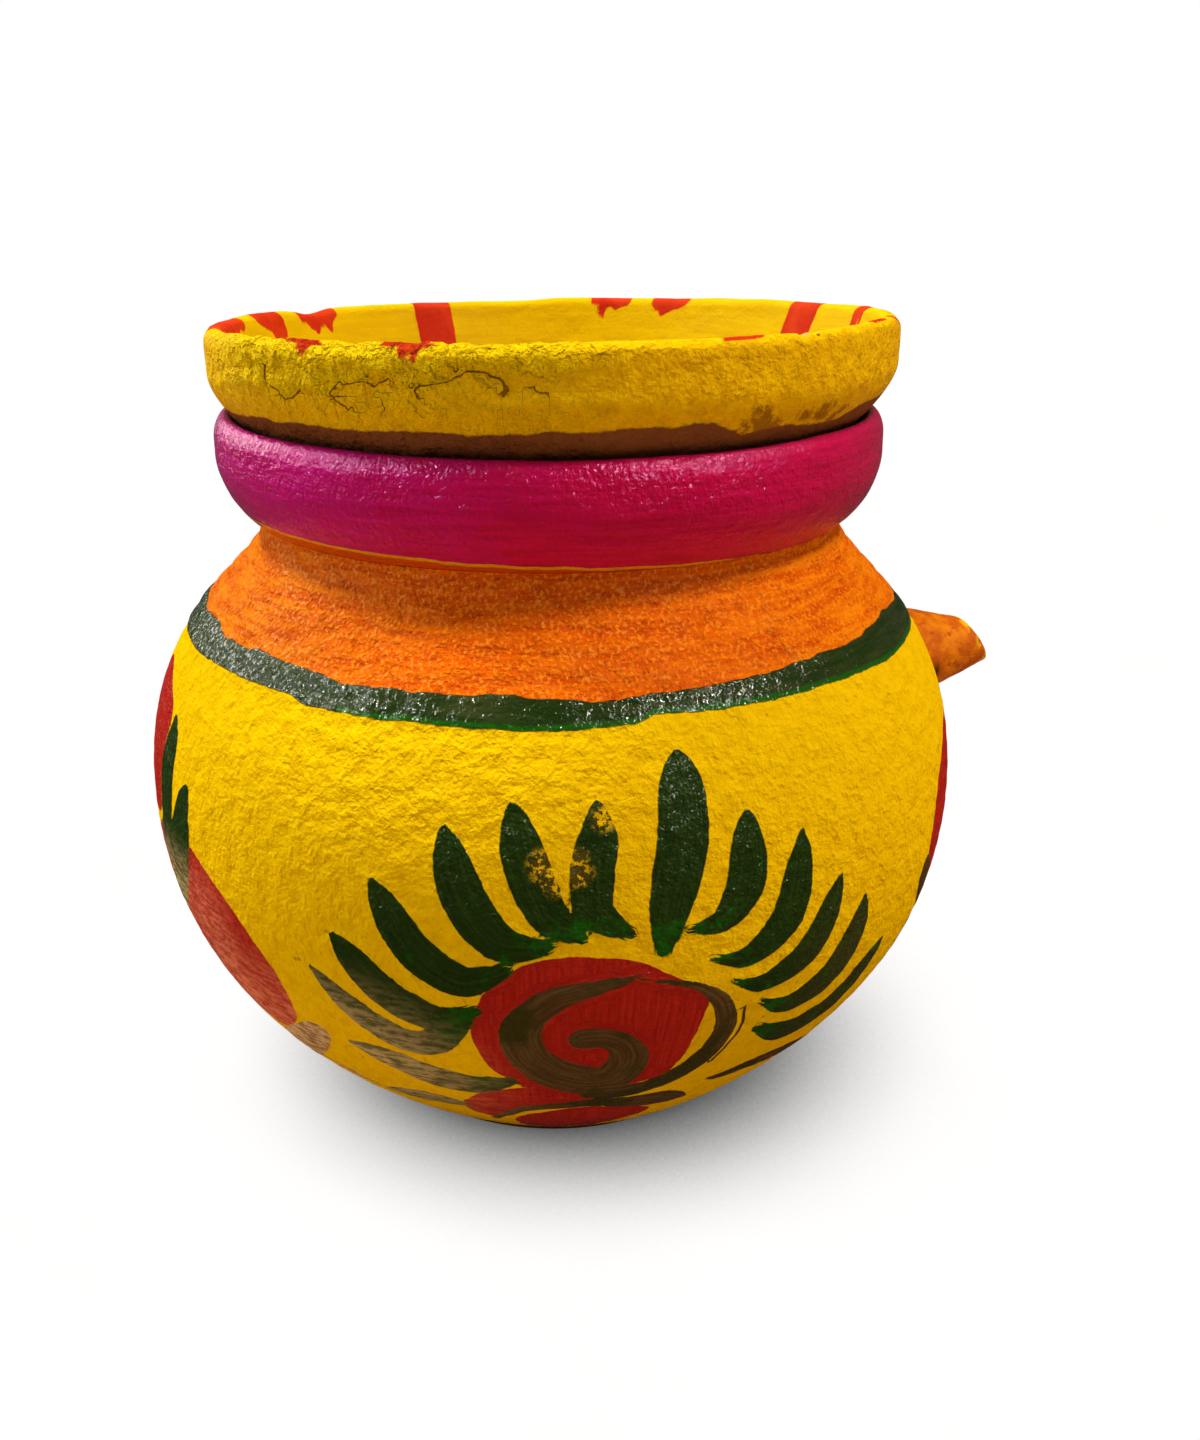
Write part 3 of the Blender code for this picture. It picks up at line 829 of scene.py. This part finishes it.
YELLOW = srgb(233, 191, 5)
YELLOW_DEEP = srgb(214, 167, 4)
PIT = srgb(120, 74, 8)
ORANGE = srgb(229, 104, 4)
ORANGE_PALE = srgb(238, 130, 8)
ORANGE_DEEP = srgb(202, 76, 4)
# Painted glint on the orange.
ORANGE_GLINT = srgb(250, 150, 16)
RED_ORANGE = srgb(170, 52, 4)
RED = srgb(178, 40, 28)
RED_DEEP = srgb(152, 26, 18)
# Painted sheen on the red paint, low on the left.
RED_SHEEN = srgb(226, 128, 98)
BROWN = srgb(96, 74, 44)
BROWN_DEEP = srgb(72, 53, 28)
# Painted sheen on the brown paint.
BROWN_SHEEN = srgb(222, 182, 134)
OLIVE = srgb(58, 54, 22)
GREEN = srgb(40, 62, 18)
GREEN_DEEP = srgb(28, 48, 13)
GREEN_BRIGHT = srgb(22, 92, 12)
# Painted sheen on the green paint.
GREEN_SHEEN = srgb(204, 180, 128)
RUBBED = srgb(112, 84, 24)
BAND = srgb(50, 60, 24)
MAGENTA = srgb(200, 12, 82)
MAGENTA_DEEP = srgb(178, 8, 64)
# Painted shade for the crest under the lid.
MAGENTA_SHADE = srgb(112, 4, 52)
VIOLET = srgb(194, 16, 134)
VIOLET_DEEP = srgb(176, 10, 102)
PEARL = (0.82, 0.42, 0.95, 1.0)
LID_YELLOW = srgb(234, 186, 4)
LID_DEEP = srgb(212, 160, 3)
LID_THICK = srgb(252, 218, 6)
LID_INSIDE = srgb(222, 184, 3)
LID_INSIDE_DEEP = srgb(212, 172, 3)
LID_WELL = srgb(176, 132, 10)
LID_STAIN = srgb(142, 92, 18)
LID_RED = srgb(204, 60, 22)
LID_RED_DEEP = srgb(184, 38, 16)
CRACK = srgb(124, 76, 10)
CHIP = srgb(206, 160, 70)
SPOUT_ORANGE = srgb(230, 132, 6)
SPOUT_DEEP = srgb(196, 92, 6)
CLAY = srgb(140, 86, 50)
DARK_CLAY = srgb(102, 58, 34)
FLOOR_BOUNCE = srgb(172, 147, 110)
FLOOR_WHITE = (1.0, 0.99, 0.98, 1.0)
BLACK = (0.0, 0.0, 0.0, 1.0)


class Paint:
    """One node material, with short calls that add a node and give back its output."""

    def __init__(self, name):
        self.material = bpy.data.materials.new(name)
        self.material.use_nodes = True
        self.tree = self.material.node_tree
        self.shader = self.tree.nodes["Principled BSDF"]
        self.place = self.new("TexCoord").outputs["Object"]

    def new(self, kind):
        return self.tree.nodes.new("ShaderNode" + kind)

    def fill(self, node, inputs, output=0):
        """Sets inputs of a node, each to a constant or another node's output, and gives back one output."""
        for name, value in inputs.items():
            if isinstance(value, bpy.types.NodeSocket):
                self.tree.links.new(value, node.inputs[name])
            else:
                node.inputs[name].default_value = value
        return node.outputs[output]

    def field(self, name):
        node = self.new("Attribute")
        node.attribute_name = name
        return node.outputs["Fac"]

    def math(self, operation, a, b=0.0):
        node = self.new("Math")
        node.operation = operation
        return self.fill(node, {0: a, 1: b})

    def times(self, a, b):
        return self.math("MULTIPLY", a, b)

    def plus(self, a, b):
        return self.math("ADD", a, b)

    def most(self, a, b):
        return self.math("MAXIMUM", a, b)

    def rest(self, share):
        """What a share leaves of one."""
        return self.math("SUBTRACT", 1.0, share)

    def centred(self, value, amount=1.0):
        """Noise shifted to lie about zero and scaled."""
        return self.times(self.math("SUBTRACT", value, 0.5), amount)

    def stretched(self, size, stretch, shift, place=None):
        scale = 1.0 if place else 1.0 / (size * MM)
        inputs = {"Vector": place or self.place, "Scale": [scale / s for s in stretch]}
        inputs["Location"] = (shift, 0.7 * shift, 1.9 * shift)
        return self.fill(self.new("Mapping"), inputs, "Vector")

    def noise(self, size, detail=3.0, roughness=0.55, stretch=(1.0, 1.0, 1.0), shift=0.0, place=None):
        place = self.stretched(size, stretch, shift, place)
        inputs = {"Vector": place, "Scale": 1.0, "Detail": detail, "Roughness": roughness}
        return self.fill(self.new("TexNoise"), inputs, "Fac")

    def cells(self, size, shift):
        """The distance from the nearest of many scattered points."""
        place = self.stretched(size, (1.0, 1.0, 1.0), shift)
        return self.fill(self.new("TexVoronoi"), {"Vector": place, "Scale": 1.0}, "Distance")

    def hair(self, along, across):
        """Brush-hair lines that run along each stroke, at the given pitches along and across it."""
        inputs = {0: self.times(self.field("along"), along), 1: self.times(self.field("across"), across)}
        return self.noise(1.0, 3.0, 0.6, place=self.fill(self.new("CombineXYZ"), inputs))

    def step(self, value, low, high):
        """A soft step from 0 at low to 1 at high, in either direction."""
        node = self.new("MapRange")
        node.interpolation_type = "SMOOTHSTEP"
        inputs = {"Value": value, "From Min": min(low, high), "From Max": max(low, high)}
        inputs["To Min"] = 1.0 if low > high else 0.0
        inputs["To Max"] = 0.0 if low > high else 1.0
        return self.fill(node, inputs, "Result")

    def mix(self, share, a, b):
        node = self.new("Mix")
        node.data_type = "RGBA"
        return self.fill(node, {0: share, 6: a, 7: b}, 2)

    def tint(self, colour, share, amount, tone):
        """The colour, taken part of the way to another tone by a share of the amount."""
        return self.mix(self.times(share, amount), colour, tone)

    def value(self, share, a, b):
        return self.fill(self.new("Mix"), {0: share, 2: a, 3: b})

    def bump(self, height, depth, normal=None):
        inputs = {"Height": height, "Strength": 1.0, "Distance": depth * MM}
        if normal:
            inputs["Normal"] = normal
        return self.fill(self.new("Bump"), inputs, "Normal")

    def finish(self, colour, roughness, normal, specular):
        inputs = {"Base Color": colour, "Roughness": roughness, "Normal": normal}
        self.fill(self.shader, inputs)
        self.shader.inputs["Specular IOR Level"].default_value = specular
        return self.material


def bare_clay(paint):
    """Unpainted low-fired clay, blotched and gritty."""
    return paint.mix(paint.noise(7.0, 5.0, 0.6, shift=3.0), DARK_CLAY, CLAY)


def grit(paint, shift=0.0):
    """The sandy tooth of the clay under the paint."""
    coarse = paint.noise(1.9, 3.0, 0.55, shift=shift)
    fine = paint.noise(0.55, 2.0, 0.5, shift=shift + 4.0)
    return paint.plus(paint.times(coarse, 0.7), paint.times(fine, 0.3))


# How far a brush stroke's edge blends, and half the width of the stray hair and of the lid's cracks.
STROKE_EDGE = 0.09
STRAY_WIDTH = 0.24
CRACK_WIDTH = 0.07
# The distance from the axis, in metres, over which the collar's colour turns.
COLLAR_SPAN = 0.047


def pot_paint():
    p = Paint("painted_pot")
    tooth = grit(p)
    shake = p.plus(p.centred(p.noise(2.2, 3.0, 0.55, shift=1.0), 0.45), p.centred(tooth, 0.3))
    # A stroke's start is dry and ragged along the lines of the brush's hair.
    hair = p.hair(0.12, 2.2)
    dry = p.times(p.step(p.field("along"), 2.4, 0.0), p.centred(hair, 2.2))

    def inked(name, extra=None):
        reach = p.plus(p.field(name), shake)
        if extra:
            reach = p.plus(reach, extra)
        return p.step(reach, STROKE_EDGE, -STROKE_EDGE)

    red = inked("red")
    stray = p.math("SUBTRACT", p.math("ABSOLUTE", p.field("stray")), STRAY_WIDTH)
    stray = p.step(p.plus(stray, p.centred(tooth, 0.25)), 0.05, -0.05)
    dark = p.most(inked("dark", dry), stray)
    green = inked("green", dry)
    band = inked("band")
    orange_part = p.step(p.plus(p.field("shoulder"), shake), -0.1, 0.1)
    blotch = p.noise(16.0, 4.0, 0.6, shift=7.0)
    brushed = p.noise(1.0, 4.0, 0.6, stretch=(9.0, 9.0, 0.8), shift=2.0)
    speckle = p.noise(0.5, 2.0, 0.5, shift=17.0)

    # The yellow ground, with slightly darker hollows and a scatter of small dark pits.
    yellow = p.tint(YELLOW, p.step(tooth, 0.56, 0.38), 0.45, YELLOW_DEEP)
    yellow = p.tint(yellow, p.step(blotch, 0.5, 0.75), 0.25, YELLOW_DEEP)
    speck = p.step(p.cells(3.4, shift=5.0), 0.12, 0.06)
    speck = p.times(speck, p.step(p.noise(9.0, 2.0, shift=9.0), 0.52, 0.62))
    yellow = p.tint(yellow, speck, 0.6, PIT)
    # The orange shoulder, brushed round the pot, with painted gold glints.
    # Paler round the sides: partly the paint's own tone, partly painted light.
    orange = p.mix(p.step(brushed, 0.3, 0.7), ORANGE_DEEP, p.mix(p.field("pale"), ORANGE, ORANGE_PALE))
    orange = p.tint(orange, p.step(tooth, 0.48, 0.36), 0.45, RED_ORANGE)
    orange = p.tint(orange, p.step(speckle, 0.48, 0.66), 0.6, ORANGE_GLINT)
    ground = p.mix(orange_part, yellow, orange)
    # Red, then the dark curl, then the greens, which are thin and bright at their roots.
    red_tone = p.mix(p.step(hair, 0.3, 0.7), RED_DEEP, RED)
    dark_tone = p.mix(p.step(hair, 0.35, 0.7), BROWN_DEEP, BROWN)
    dark_tone = p.mix(p.step(p.noise(11.0, 3.0, shift=15.0), 0.5, 0.62), dark_tone, OLIVE)
    green_tone = p.mix(p.step(hair, 0.35, 0.75), GREEN_DEEP, GREEN)
    green_tone = p.tint(green_tone, p.field("browned"), 0.25, BROWN)
    root = p.times(p.step(p.field("along"), 9.0, 1.0), 0.22)
    root = p.plus(root, p.times(p.field("browned"), 0.1))
    thin = p.step(p.plus(root, p.noise(2.6, 4.0, 0.65, shift=11.0)), 0.6, 0.82)
    green_tone = p.tint(green_tone, thin, 0.75, GREEN_BRIGHT)
    # Painted sheen on the low strokes at the left, in streaks.
    streaky = p.noise(0.9, 4.0, 0.65, stretch=(3.0, 3.0, 0.9), shift=63.0)
    painted_sheen = p.times(p.field("painted_sheen"), p.value(p.step(streaky, 0.38, 0.6), 0.3, 1.15))
    red_tone = p.tint(red_tone, painted_sheen, 0.75, RED_SHEEN)
    dark_tone = p.tint(dark_tone, painted_sheen, 0.85, BROWN_SHEEN)
    green_tone = p.tint(green_tone, painted_sheen, 0.75, GREEN_SHEEN)
    # Two leaves are rubbed: brownish, with the ground showing in specks.
    rubbed = p.step(p.field("wear"), 1.7, 0.5)
    green_tone = p.tint(green_tone, rubbed, 0.45, RUBBED)
    worn = p.times(rubbed, p.step(p.noise(1.0, 4.0, 0.65, shift=61.0), 0.5, 0.56))
    leaf = p.times(green, p.rest(worn))
    # The green band, with its thin bright edge.
    band_tone = p.mix(p.step(brushed, 0.35, 0.7), GREEN_DEEP, BAND)
    fringe = p.step(p.plus(p.field("fringe"), shake), 0.75, 0.35)
    band_tone = p.tint(band_tone, fringe, 0.8, GREEN_BRIGHT)
    colour = ground
    for share, tone in ((red, red_tone), (dark, dark_tone), (leaf, green_tone), (band, band_tone)):
        colour = p.mix(share, colour, tone)
    bare = p.field("bare")
    colour = p.mix(bare, colour, bare_clay(p))

    # The paint's shine, which breaks up into specks on the rough ground.
    strokes = p.most(p.most(red, dark), p.most(leaf, band))
    glints = p.value(p.step(speckle, 0.52, 0.62), 0.35, 2.0)
    varnish = p.most(p.times(strokes, 0.26), p.times(band, 0.7))
    varnish = p.times(p.most(varnish, p.times(orange_part, 0.14)), p.rest(bare))

    normal = p.bump(p.times(p.centred(tooth), p.value(band, 1.0, 0.5)), 0.85)
    normal = p.bump(p.noise(4.0, 4.0, 0.65, shift=13.0), 0.8, normal)
    shoulder = p.times(orange_part, p.rest(band))
    normal = p.bump(p.times(p.centred(brushed), shoulder), 0.4, normal)
    normal = p.bump(p.times(p.centred(speckle), shoulder), 0.25, normal)
    ridges = p.times(strokes, p.plus(0.7, p.times(hair, 0.6)))
    normal = p.bump(ridges, 0.1, normal)
    p.fill(p.shader, {"Coat Weight": p.times(varnish, glints), "Coat Normal": normal})
    p.shader.inputs["Coat Roughness"].default_value = 0.12
    return p.finish(colour, p.value(bare, 0.6, 0.9), normal, specular=0.0)


def collar_paint():
    p = Paint("magenta_collar")
    tooth = grit(p, 20.0)
    brushed = p.noise(1.0, 4.0, 0.6, stretch=(10.0, 10.0, 0.7), shift=22.0)
    # Magenta on the right turns to violet on the left.
    side = p.new("VectorMath")
    side.operation = "DOT_PRODUCT"
    right_share = p.fill(side, {0: p.place, 1: high_side / COLLAR_SPAN}, "Value")
    magenta = p.mix(p.step(brushed, 0.3, 0.72), MAGENTA_DEEP, MAGENTA)
    violet = p.mix(p.step(brushed, 0.3, 0.72), VIOLET_DEEP, VIOLET)
    lean = p.plus(right_share, p.centred(p.noise(9.0, 3.0, shift=24.0), 0.9))
    colour = p.mix(p.step(lean, 0.05, -0.75), magenta, violet)
    # Painted shade: the crest is darker where it sits under the lid.
    colour = p.tint(colour, p.field("lid_shade"), 0.7, MAGENTA_SHADE)
    # The paint stops short of the neck, where a wavering line of yellow shows over the shoulder's orange.
    foot = p.plus(p.field("foot"), p.centred(p.noise(4.0, 4.0, 0.6, shift=26.0), 0.8))
    colour = p.mix(p.step(foot, 1.2, 1.05), colour, YELLOW_DEEP)
    colour = p.mix(p.step(foot, 0.8, 0.6), colour, ORANGE_DEEP)
    colour = p.mix(p.field("seat"), colour, bare_clay(p))
    gloss = p.value(p.step(tooth, 0.36, 0.62), 0.08, 0.17)
    dimples = p.noise(0.8, 2.0, 0.5, stretch=(0.7, 0.7, 1.3), shift=28.0)
    normal = p.bump(tooth, 0.6)
    normal = p.bump(dimples, 0.16, normal)
    normal = p.bump(brushed, 0.15, normal)
    p.shader.inputs["Specular Tint"].default_value = PEARL
    return p.finish(colour, gloss, normal, specular=0.4)


def lid_paint():
    p = Paint("crackled_lid")
    tooth = grit(p, 30.0)
    shake = p.plus(p.centred(p.noise(1.8, 4.0, 0.6, shift=31.0), 0.9), p.centred(tooth, 0.5))
    bare = p.step(p.plus(p.field("bare"), shake), -0.15, 0.2)
    blotch = p.noise(8.0, 4.0, 0.6, shift=33.0)
    inner = p.field("inner")
    hole = p.step(p.field("hole"), 0.15, -0.15)
    chipped = p.step(p.field("chip"), 0.15, -0.1)
    ragged = p.plus(p.times(shake, 0.35), p.centred(p.hair(0.15, 1.6), 0.45))
    red = p.step(p.plus(p.field("red"), ragged), 0.1, -0.1)
    # The outside is mottled and grimy towards its foot. The inside is brushed round and clean.
    outer_yellow = p.mix(p.step(tooth, 0.3, 0.66), LID_DEEP, LID_YELLOW)
    outer_yellow = p.tint(outer_yellow, p.step(blotch, 0.5, 0.75), 0.3, LID_DEEP)
    outer_yellow = p.tint(outer_yellow, p.field("lumpy"), 0.55, LID_THICK)
    stain = p.plus(p.times(p.field("patchy"), 0.22), p.noise(3.2, 5.0, 0.65, shift=37.0))
    outer_yellow = p.tint(outer_yellow, p.step(stain, 0.66, 0.8), 0.85, LID_STAIN)
    streak = p.noise(1.0, 4.0, 0.6, stretch=(9.0, 9.0, 0.9), shift=34.0)
    inner_yellow = p.mix(p.step(streak, 0.32, 0.7), LID_INSIDE_DEEP, LID_INSIDE)
    inner_yellow = p.tint(inner_yellow, p.field("well"), p.value(blotch, 0.7, 1.0), LID_WELL)
    yellow = p.mix(inner, outer_yellow, inner_yellow)
    crack = p.math("SUBTRACT", p.math("ABSOLUTE", p.field("crack")), CRACK_WIDTH)
    crack = p.step(p.plus(crack, p.centred(tooth, 0.45)), 0.06, -0.04)
    crack = p.times(crack, p.step(inner, 0.3, 0.05))
    yellow = p.tint(yellow, crack, 0.85, CRACK)
    red_tone = p.mix(p.step(blotch, 0.35, 0.7), LID_RED_DEEP, LID_RED)
    colour = yellow
    for share, tone in ((red, red_tone), (bare, bare_clay(p)), (chipped, CHIP), (hole, PIT)):
        colour = p.mix(share, colour, tone)
    gloss = p.value(p.most(bare, chipped), p.value(p.step(tooth, 0.36, 0.62), 0.4, 0.52), 0.9)
    normal = p.bump(p.times(p.centred(tooth), p.value(inner, 1.0, 0.3)), 0.9)
    rough = p.value(inner, p.value(p.field("lumpy"), 0.8, 4.2), 0.15)
    lumps = p.centred(p.noise(2.0, 4.0, 0.6, shift=39.0))
    normal = p.bump(p.times(lumps, rough), 1.0, normal)
    normal = p.bump(p.rest(crack), 0.25, normal)
    return p.finish(colour, gloss, normal, specular=0.01)


def spout_paint():
    p = Paint("orange_spout")
    tooth = grit(p, 50.0)
    blotch = p.noise(4.0, 4.0, 0.6, shift=52.0)
    colour = p.mix(p.step(blotch, 0.38, 0.66), SPOUT_DEEP, SPOUT_ORANGE)
    colour = p.tint(colour, p.step(tooth, 0.44, 0.32), 0.7, RED_ORANGE)
    colour = p.tint(colour, p.step(p.cells(3.4, shift=55.0), 0.16, 0.08), 0.8, PIT)
    # Green smeared under the root is partly paint, partly painted shade; yellow is left on the lip.
    root = p.plus(p.field("reach"), p.centred(blotch, 0.25))
    colour = p.tint(colour, p.step(root, 0.36, 0.28), p.field("under"), GREEN_DEEP)
    lip = p.times(p.step(p.field("reach"), 0.93, 0.98), p.step(blotch, 0.46, 0.54))
    colour = p.tint(colour, lip, 0.8, YELLOW)
    colour = p.mix(p.field("bore"), colour, bare_clay(p))
    gloss = p.value(p.step(tooth, 0.36, 0.62), 0.38, 0.55)
    return p.finish(colour, gloss, p.bump(tooth, 0.5), specular=0.05)


# How far the floor's shadow leans, and how far in metres the pot's shade reaches.
SHADE_LEFT = 0.17
SHADE_FRONT = 0.12
SHADE_REACH = 0.5


def floor_paint():
    """A white sweep, darker where the pot keeps the room's light off it, most of all behind and right."""
    p = Paint("pale_floor")
    seen = p.new("LightPath").outputs["Is Camera Ray"]
    lean = Vector((0.0, 0.0, 1.0)) - SHADE_LEFT * high_side + SHADE_FRONT * Vector(spot(0.0, 1.0, 0.0))
    leaning = p.fill(p.new("CombineXYZ"), dict(enumerate(lean)))
    occlusion = p.new("AmbientOcclusion")
    occlusion.samples = 16
    open_sky = p.fill(occlusion, {"Distance": SHADE_REACH, "Normal": leaning}, "AO")
    shade = p.value(p.step(open_sky, 0.1, 0.66), 0.05, 1.02)
    dust = p.value(p.noise(60.0, 3.0), 0.99, 1.01)
    shown = p.times(seen, p.times(dust, shade))
    p.fill(p.shader, {"Emission Color": FLOOR_WHITE, "Emission Strength": shown})
    colour = p.mix(seen, FLOOR_BOUNCE, BLACK)
    return p.finish(colour, 0.8, p.bump(p.noise(0.8, 2.0), 0.01), specular=0.0)


# The pieces

# The wall's faces are made finer than this, out to this many hole radii, before the hole is cut.
FINE_EDGE = 1.5
FINE_REACH = 2.5


def pierce_wall(item, radius):
    """Opens the pot's wall where the spout's bore meets it, and lines the hole."""
    mesh = bmesh.new()
    mesh.from_mesh(item.data)
    middle = SPOUT_HEIGHT * MM

    def around_bore(reach):
        found = []
        for face in mesh.faces:
            centre = face.calc_center_median()
            if centre.x > 0.0 and math.hypot(centre.y, centre.z - middle) < reach * MM:
                found.append(face)
        return found

    near = dict.fromkeys(edge for face in around_bore(FINE_REACH * radius) for edge in face.edges)
    coarse = [edge for edge in near if edge.calc_length() > FINE_EDGE * MM]
    bmesh.ops.subdivide_edges(mesh, edges=coarse, cuts=3, use_grid_fill=True)
    bmesh.ops.delete(mesh, geom=around_bore(radius), context="FACES")
    rim = [edge for edge in mesh.edges if edge.is_boundary]
    for vertex in {vertex for edge in rim for vertex in edge.verts}:
        scale = radius * MM / math.hypot(vertex.co.y, vertex.co.z - middle)
        vertex.co.y *= scale
        vertex.co.z = middle + (vertex.co.z - middle) * scale
    bmesh.ops.bridge_loops(mesh, edges=rim)
    mesh.to_mesh(item.data)
    mesh.free()
    item.data.shade_smooth()


pot_piece = pot.build("pot_skin", pot_paint())
pierce_wall(pot_piece, WALL_HOLE_RADIUS)
collar_piece = collar.build("collar_skin", collar_paint())
lid_piece = lid.build("lid_skin", lid_paint(), lid_tip)
spout_piece = build_spout(spout_paint())
for piece, body, nodes in (
    (pot_piece, "pot", ("pot_body",)),
    (collar_piece, "pot", ("rim_collar",)),
    (spout_piece, "pot", ("spout", "spout_luting")),
    (lid_piece, "lid", ("lid",)),
):
    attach(piece, body)
    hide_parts(*nodes)


# Floor, light and camera

FLOOR_REACH = 6.0
floor_corners = [(x * FLOOR_REACH, y * FLOOR_REACH, 0) for x, y in ((-1, -1), (1, -1), (1, 1), (-1, 1))]
floor_mesh = bpy.data.meshes.new("floor")
floor_mesh.from_pydata(floor_corners, [], [(0, 1, 2, 3)])
floor_mesh.materials.append(floor_paint())
floor = add_object("floor", floor_mesh)
floor.visible_glossy = False

WHITE = (1.0, 1.0, 1.0)
WARM = (1.0, 0.88, 0.8)
GLOW = (1.0, 0.97, 0.84)
# Lamps by name, side, height, strength, spread and tint. Each lights surfaces, glints on gloss, or both.
for name, angle, elevation, strength, spread, tint, lights, glints in (
    ("lamp_left", -111.0, 59.0, 3.3, 14.0, WHITE, True, False),
    ("lamp_right", 73.0, 60.0, 2.9, 14.0, WARM, True, False),
    ("side_left", -86.0, 27.0, 1.1, 50.0, WHITE, True, True),
    ("side_right", 90.0, 22.0, 0.4, 50.0, WARM, True, False),
    ("front", 0.0, 40.0, 0.25, 50.0, WHITE, True, False),
    ("glint_left", -111.0, 59.0, 1.7, 10.0, GLOW, False, True),
    ("glint_right", 73.0, 60.0, 1.7, 10.0, GLOW, False, True),
    ("low_glint_left", -70.0, 28.0, 1.8, 9.0, GLOW, False, True),
    ("low_glint_right", 45.0, 32.0, 2.8, 8.0, GLOW, False, True),
    ("rim_glint_left", -130.0, 20.0, 1.3, 40.0, GLOW, False, True),
):
    sun = bpy.data.lights.new(name, "SUN")
    sun.energy = strength
    sun.color = tint
    sun.angle = math.radians(spread)
    rise = math.radians(elevation)
    towards = Vector(spot(angle, math.cos(rise), math.sin(rise)))
    lamp = add_object(name, sun)
    lamp.rotation_euler = towards.to_track_quat("Z", "Y").to_euler()
    lamp.visible_diffuse = lights
    lamp.visible_glossy = glints

# The backdrop is white, but it hardly lights the pot, which the lamps do.
BACKDROP_LIGHT = 0.06
world = bpy.data.worlds.new("studio")
world.use_nodes = True
bpy.context.scene.world = world
tree = world.node_tree
seen = tree.nodes.new("ShaderNodeLightPath")
glow = tree.nodes.new("ShaderNodeMapRange")
tree.links.new(seen.outputs["Is Camera Ray"], glow.inputs["Value"])
glow.inputs["To Min"].default_value = BACKDROP_LIGHT
glow.inputs["To Max"].default_value = 1.0
background = tree.nodes["Background"]
background.inputs["Color"].default_value = (1.0, 1.0, 1.0, 1.0)
tree.links.new(glow.outputs["Result"], background.inputs["Strength"])

# The camera: a close view from a little above the lid, turned slightly off the pot's axis.
IMAGE_HEIGHT = 1440
FOCAL_PIXELS = 1414.1
CAMERA_DISTANCE = 208.0
CAMERA_HEIGHT = 129.4
CAMERA_PITCH = 0.3413
CAMERA_YAW = 0.0347
CAMERA_ROLL = 0.0023
camera_data = bpy.data.cameras.new("camera")
camera_data.sensor_width = 36.0
camera_data.lens = FOCAL_PIXELS * camera_data.sensor_width / IMAGE_HEIGHT
camera_data.clip_start = 0.01
camera = add_object("camera", camera_data)
facing = Vector((
    math.sin(CAMERA_YAW) * math.cos(CAMERA_PITCH),
    math.cos(CAMERA_YAW) * math.cos(CAMERA_PITCH),
    -math.sin(CAMERA_PITCH),
))
right = facing.cross(Vector((0.0, 0.0, 1.0))).normalized()
up = right.cross(facing)
rolled_right = math.cos(CAMERA_ROLL) * right + math.sin(CAMERA_ROLL) * up
rolled_up = math.cos(CAMERA_ROLL) * up - math.sin(CAMERA_ROLL) * right
pose = Matrix((rolled_right, rolled_up, -facing)).transposed().to_4x4()
pose.translation = Vector((0.0, -CAMERA_DISTANCE * MM, CAMERA_HEIGHT * MM))
swing = Matrix.Rotation(math.radians(90.0 - SPOUT_ANGLE), 4, "Z")
camera.matrix_world = swing @ pose
bpy.context.scene.camera = camera
bpy.context.scene.view_settings.view_transform = "Standard"
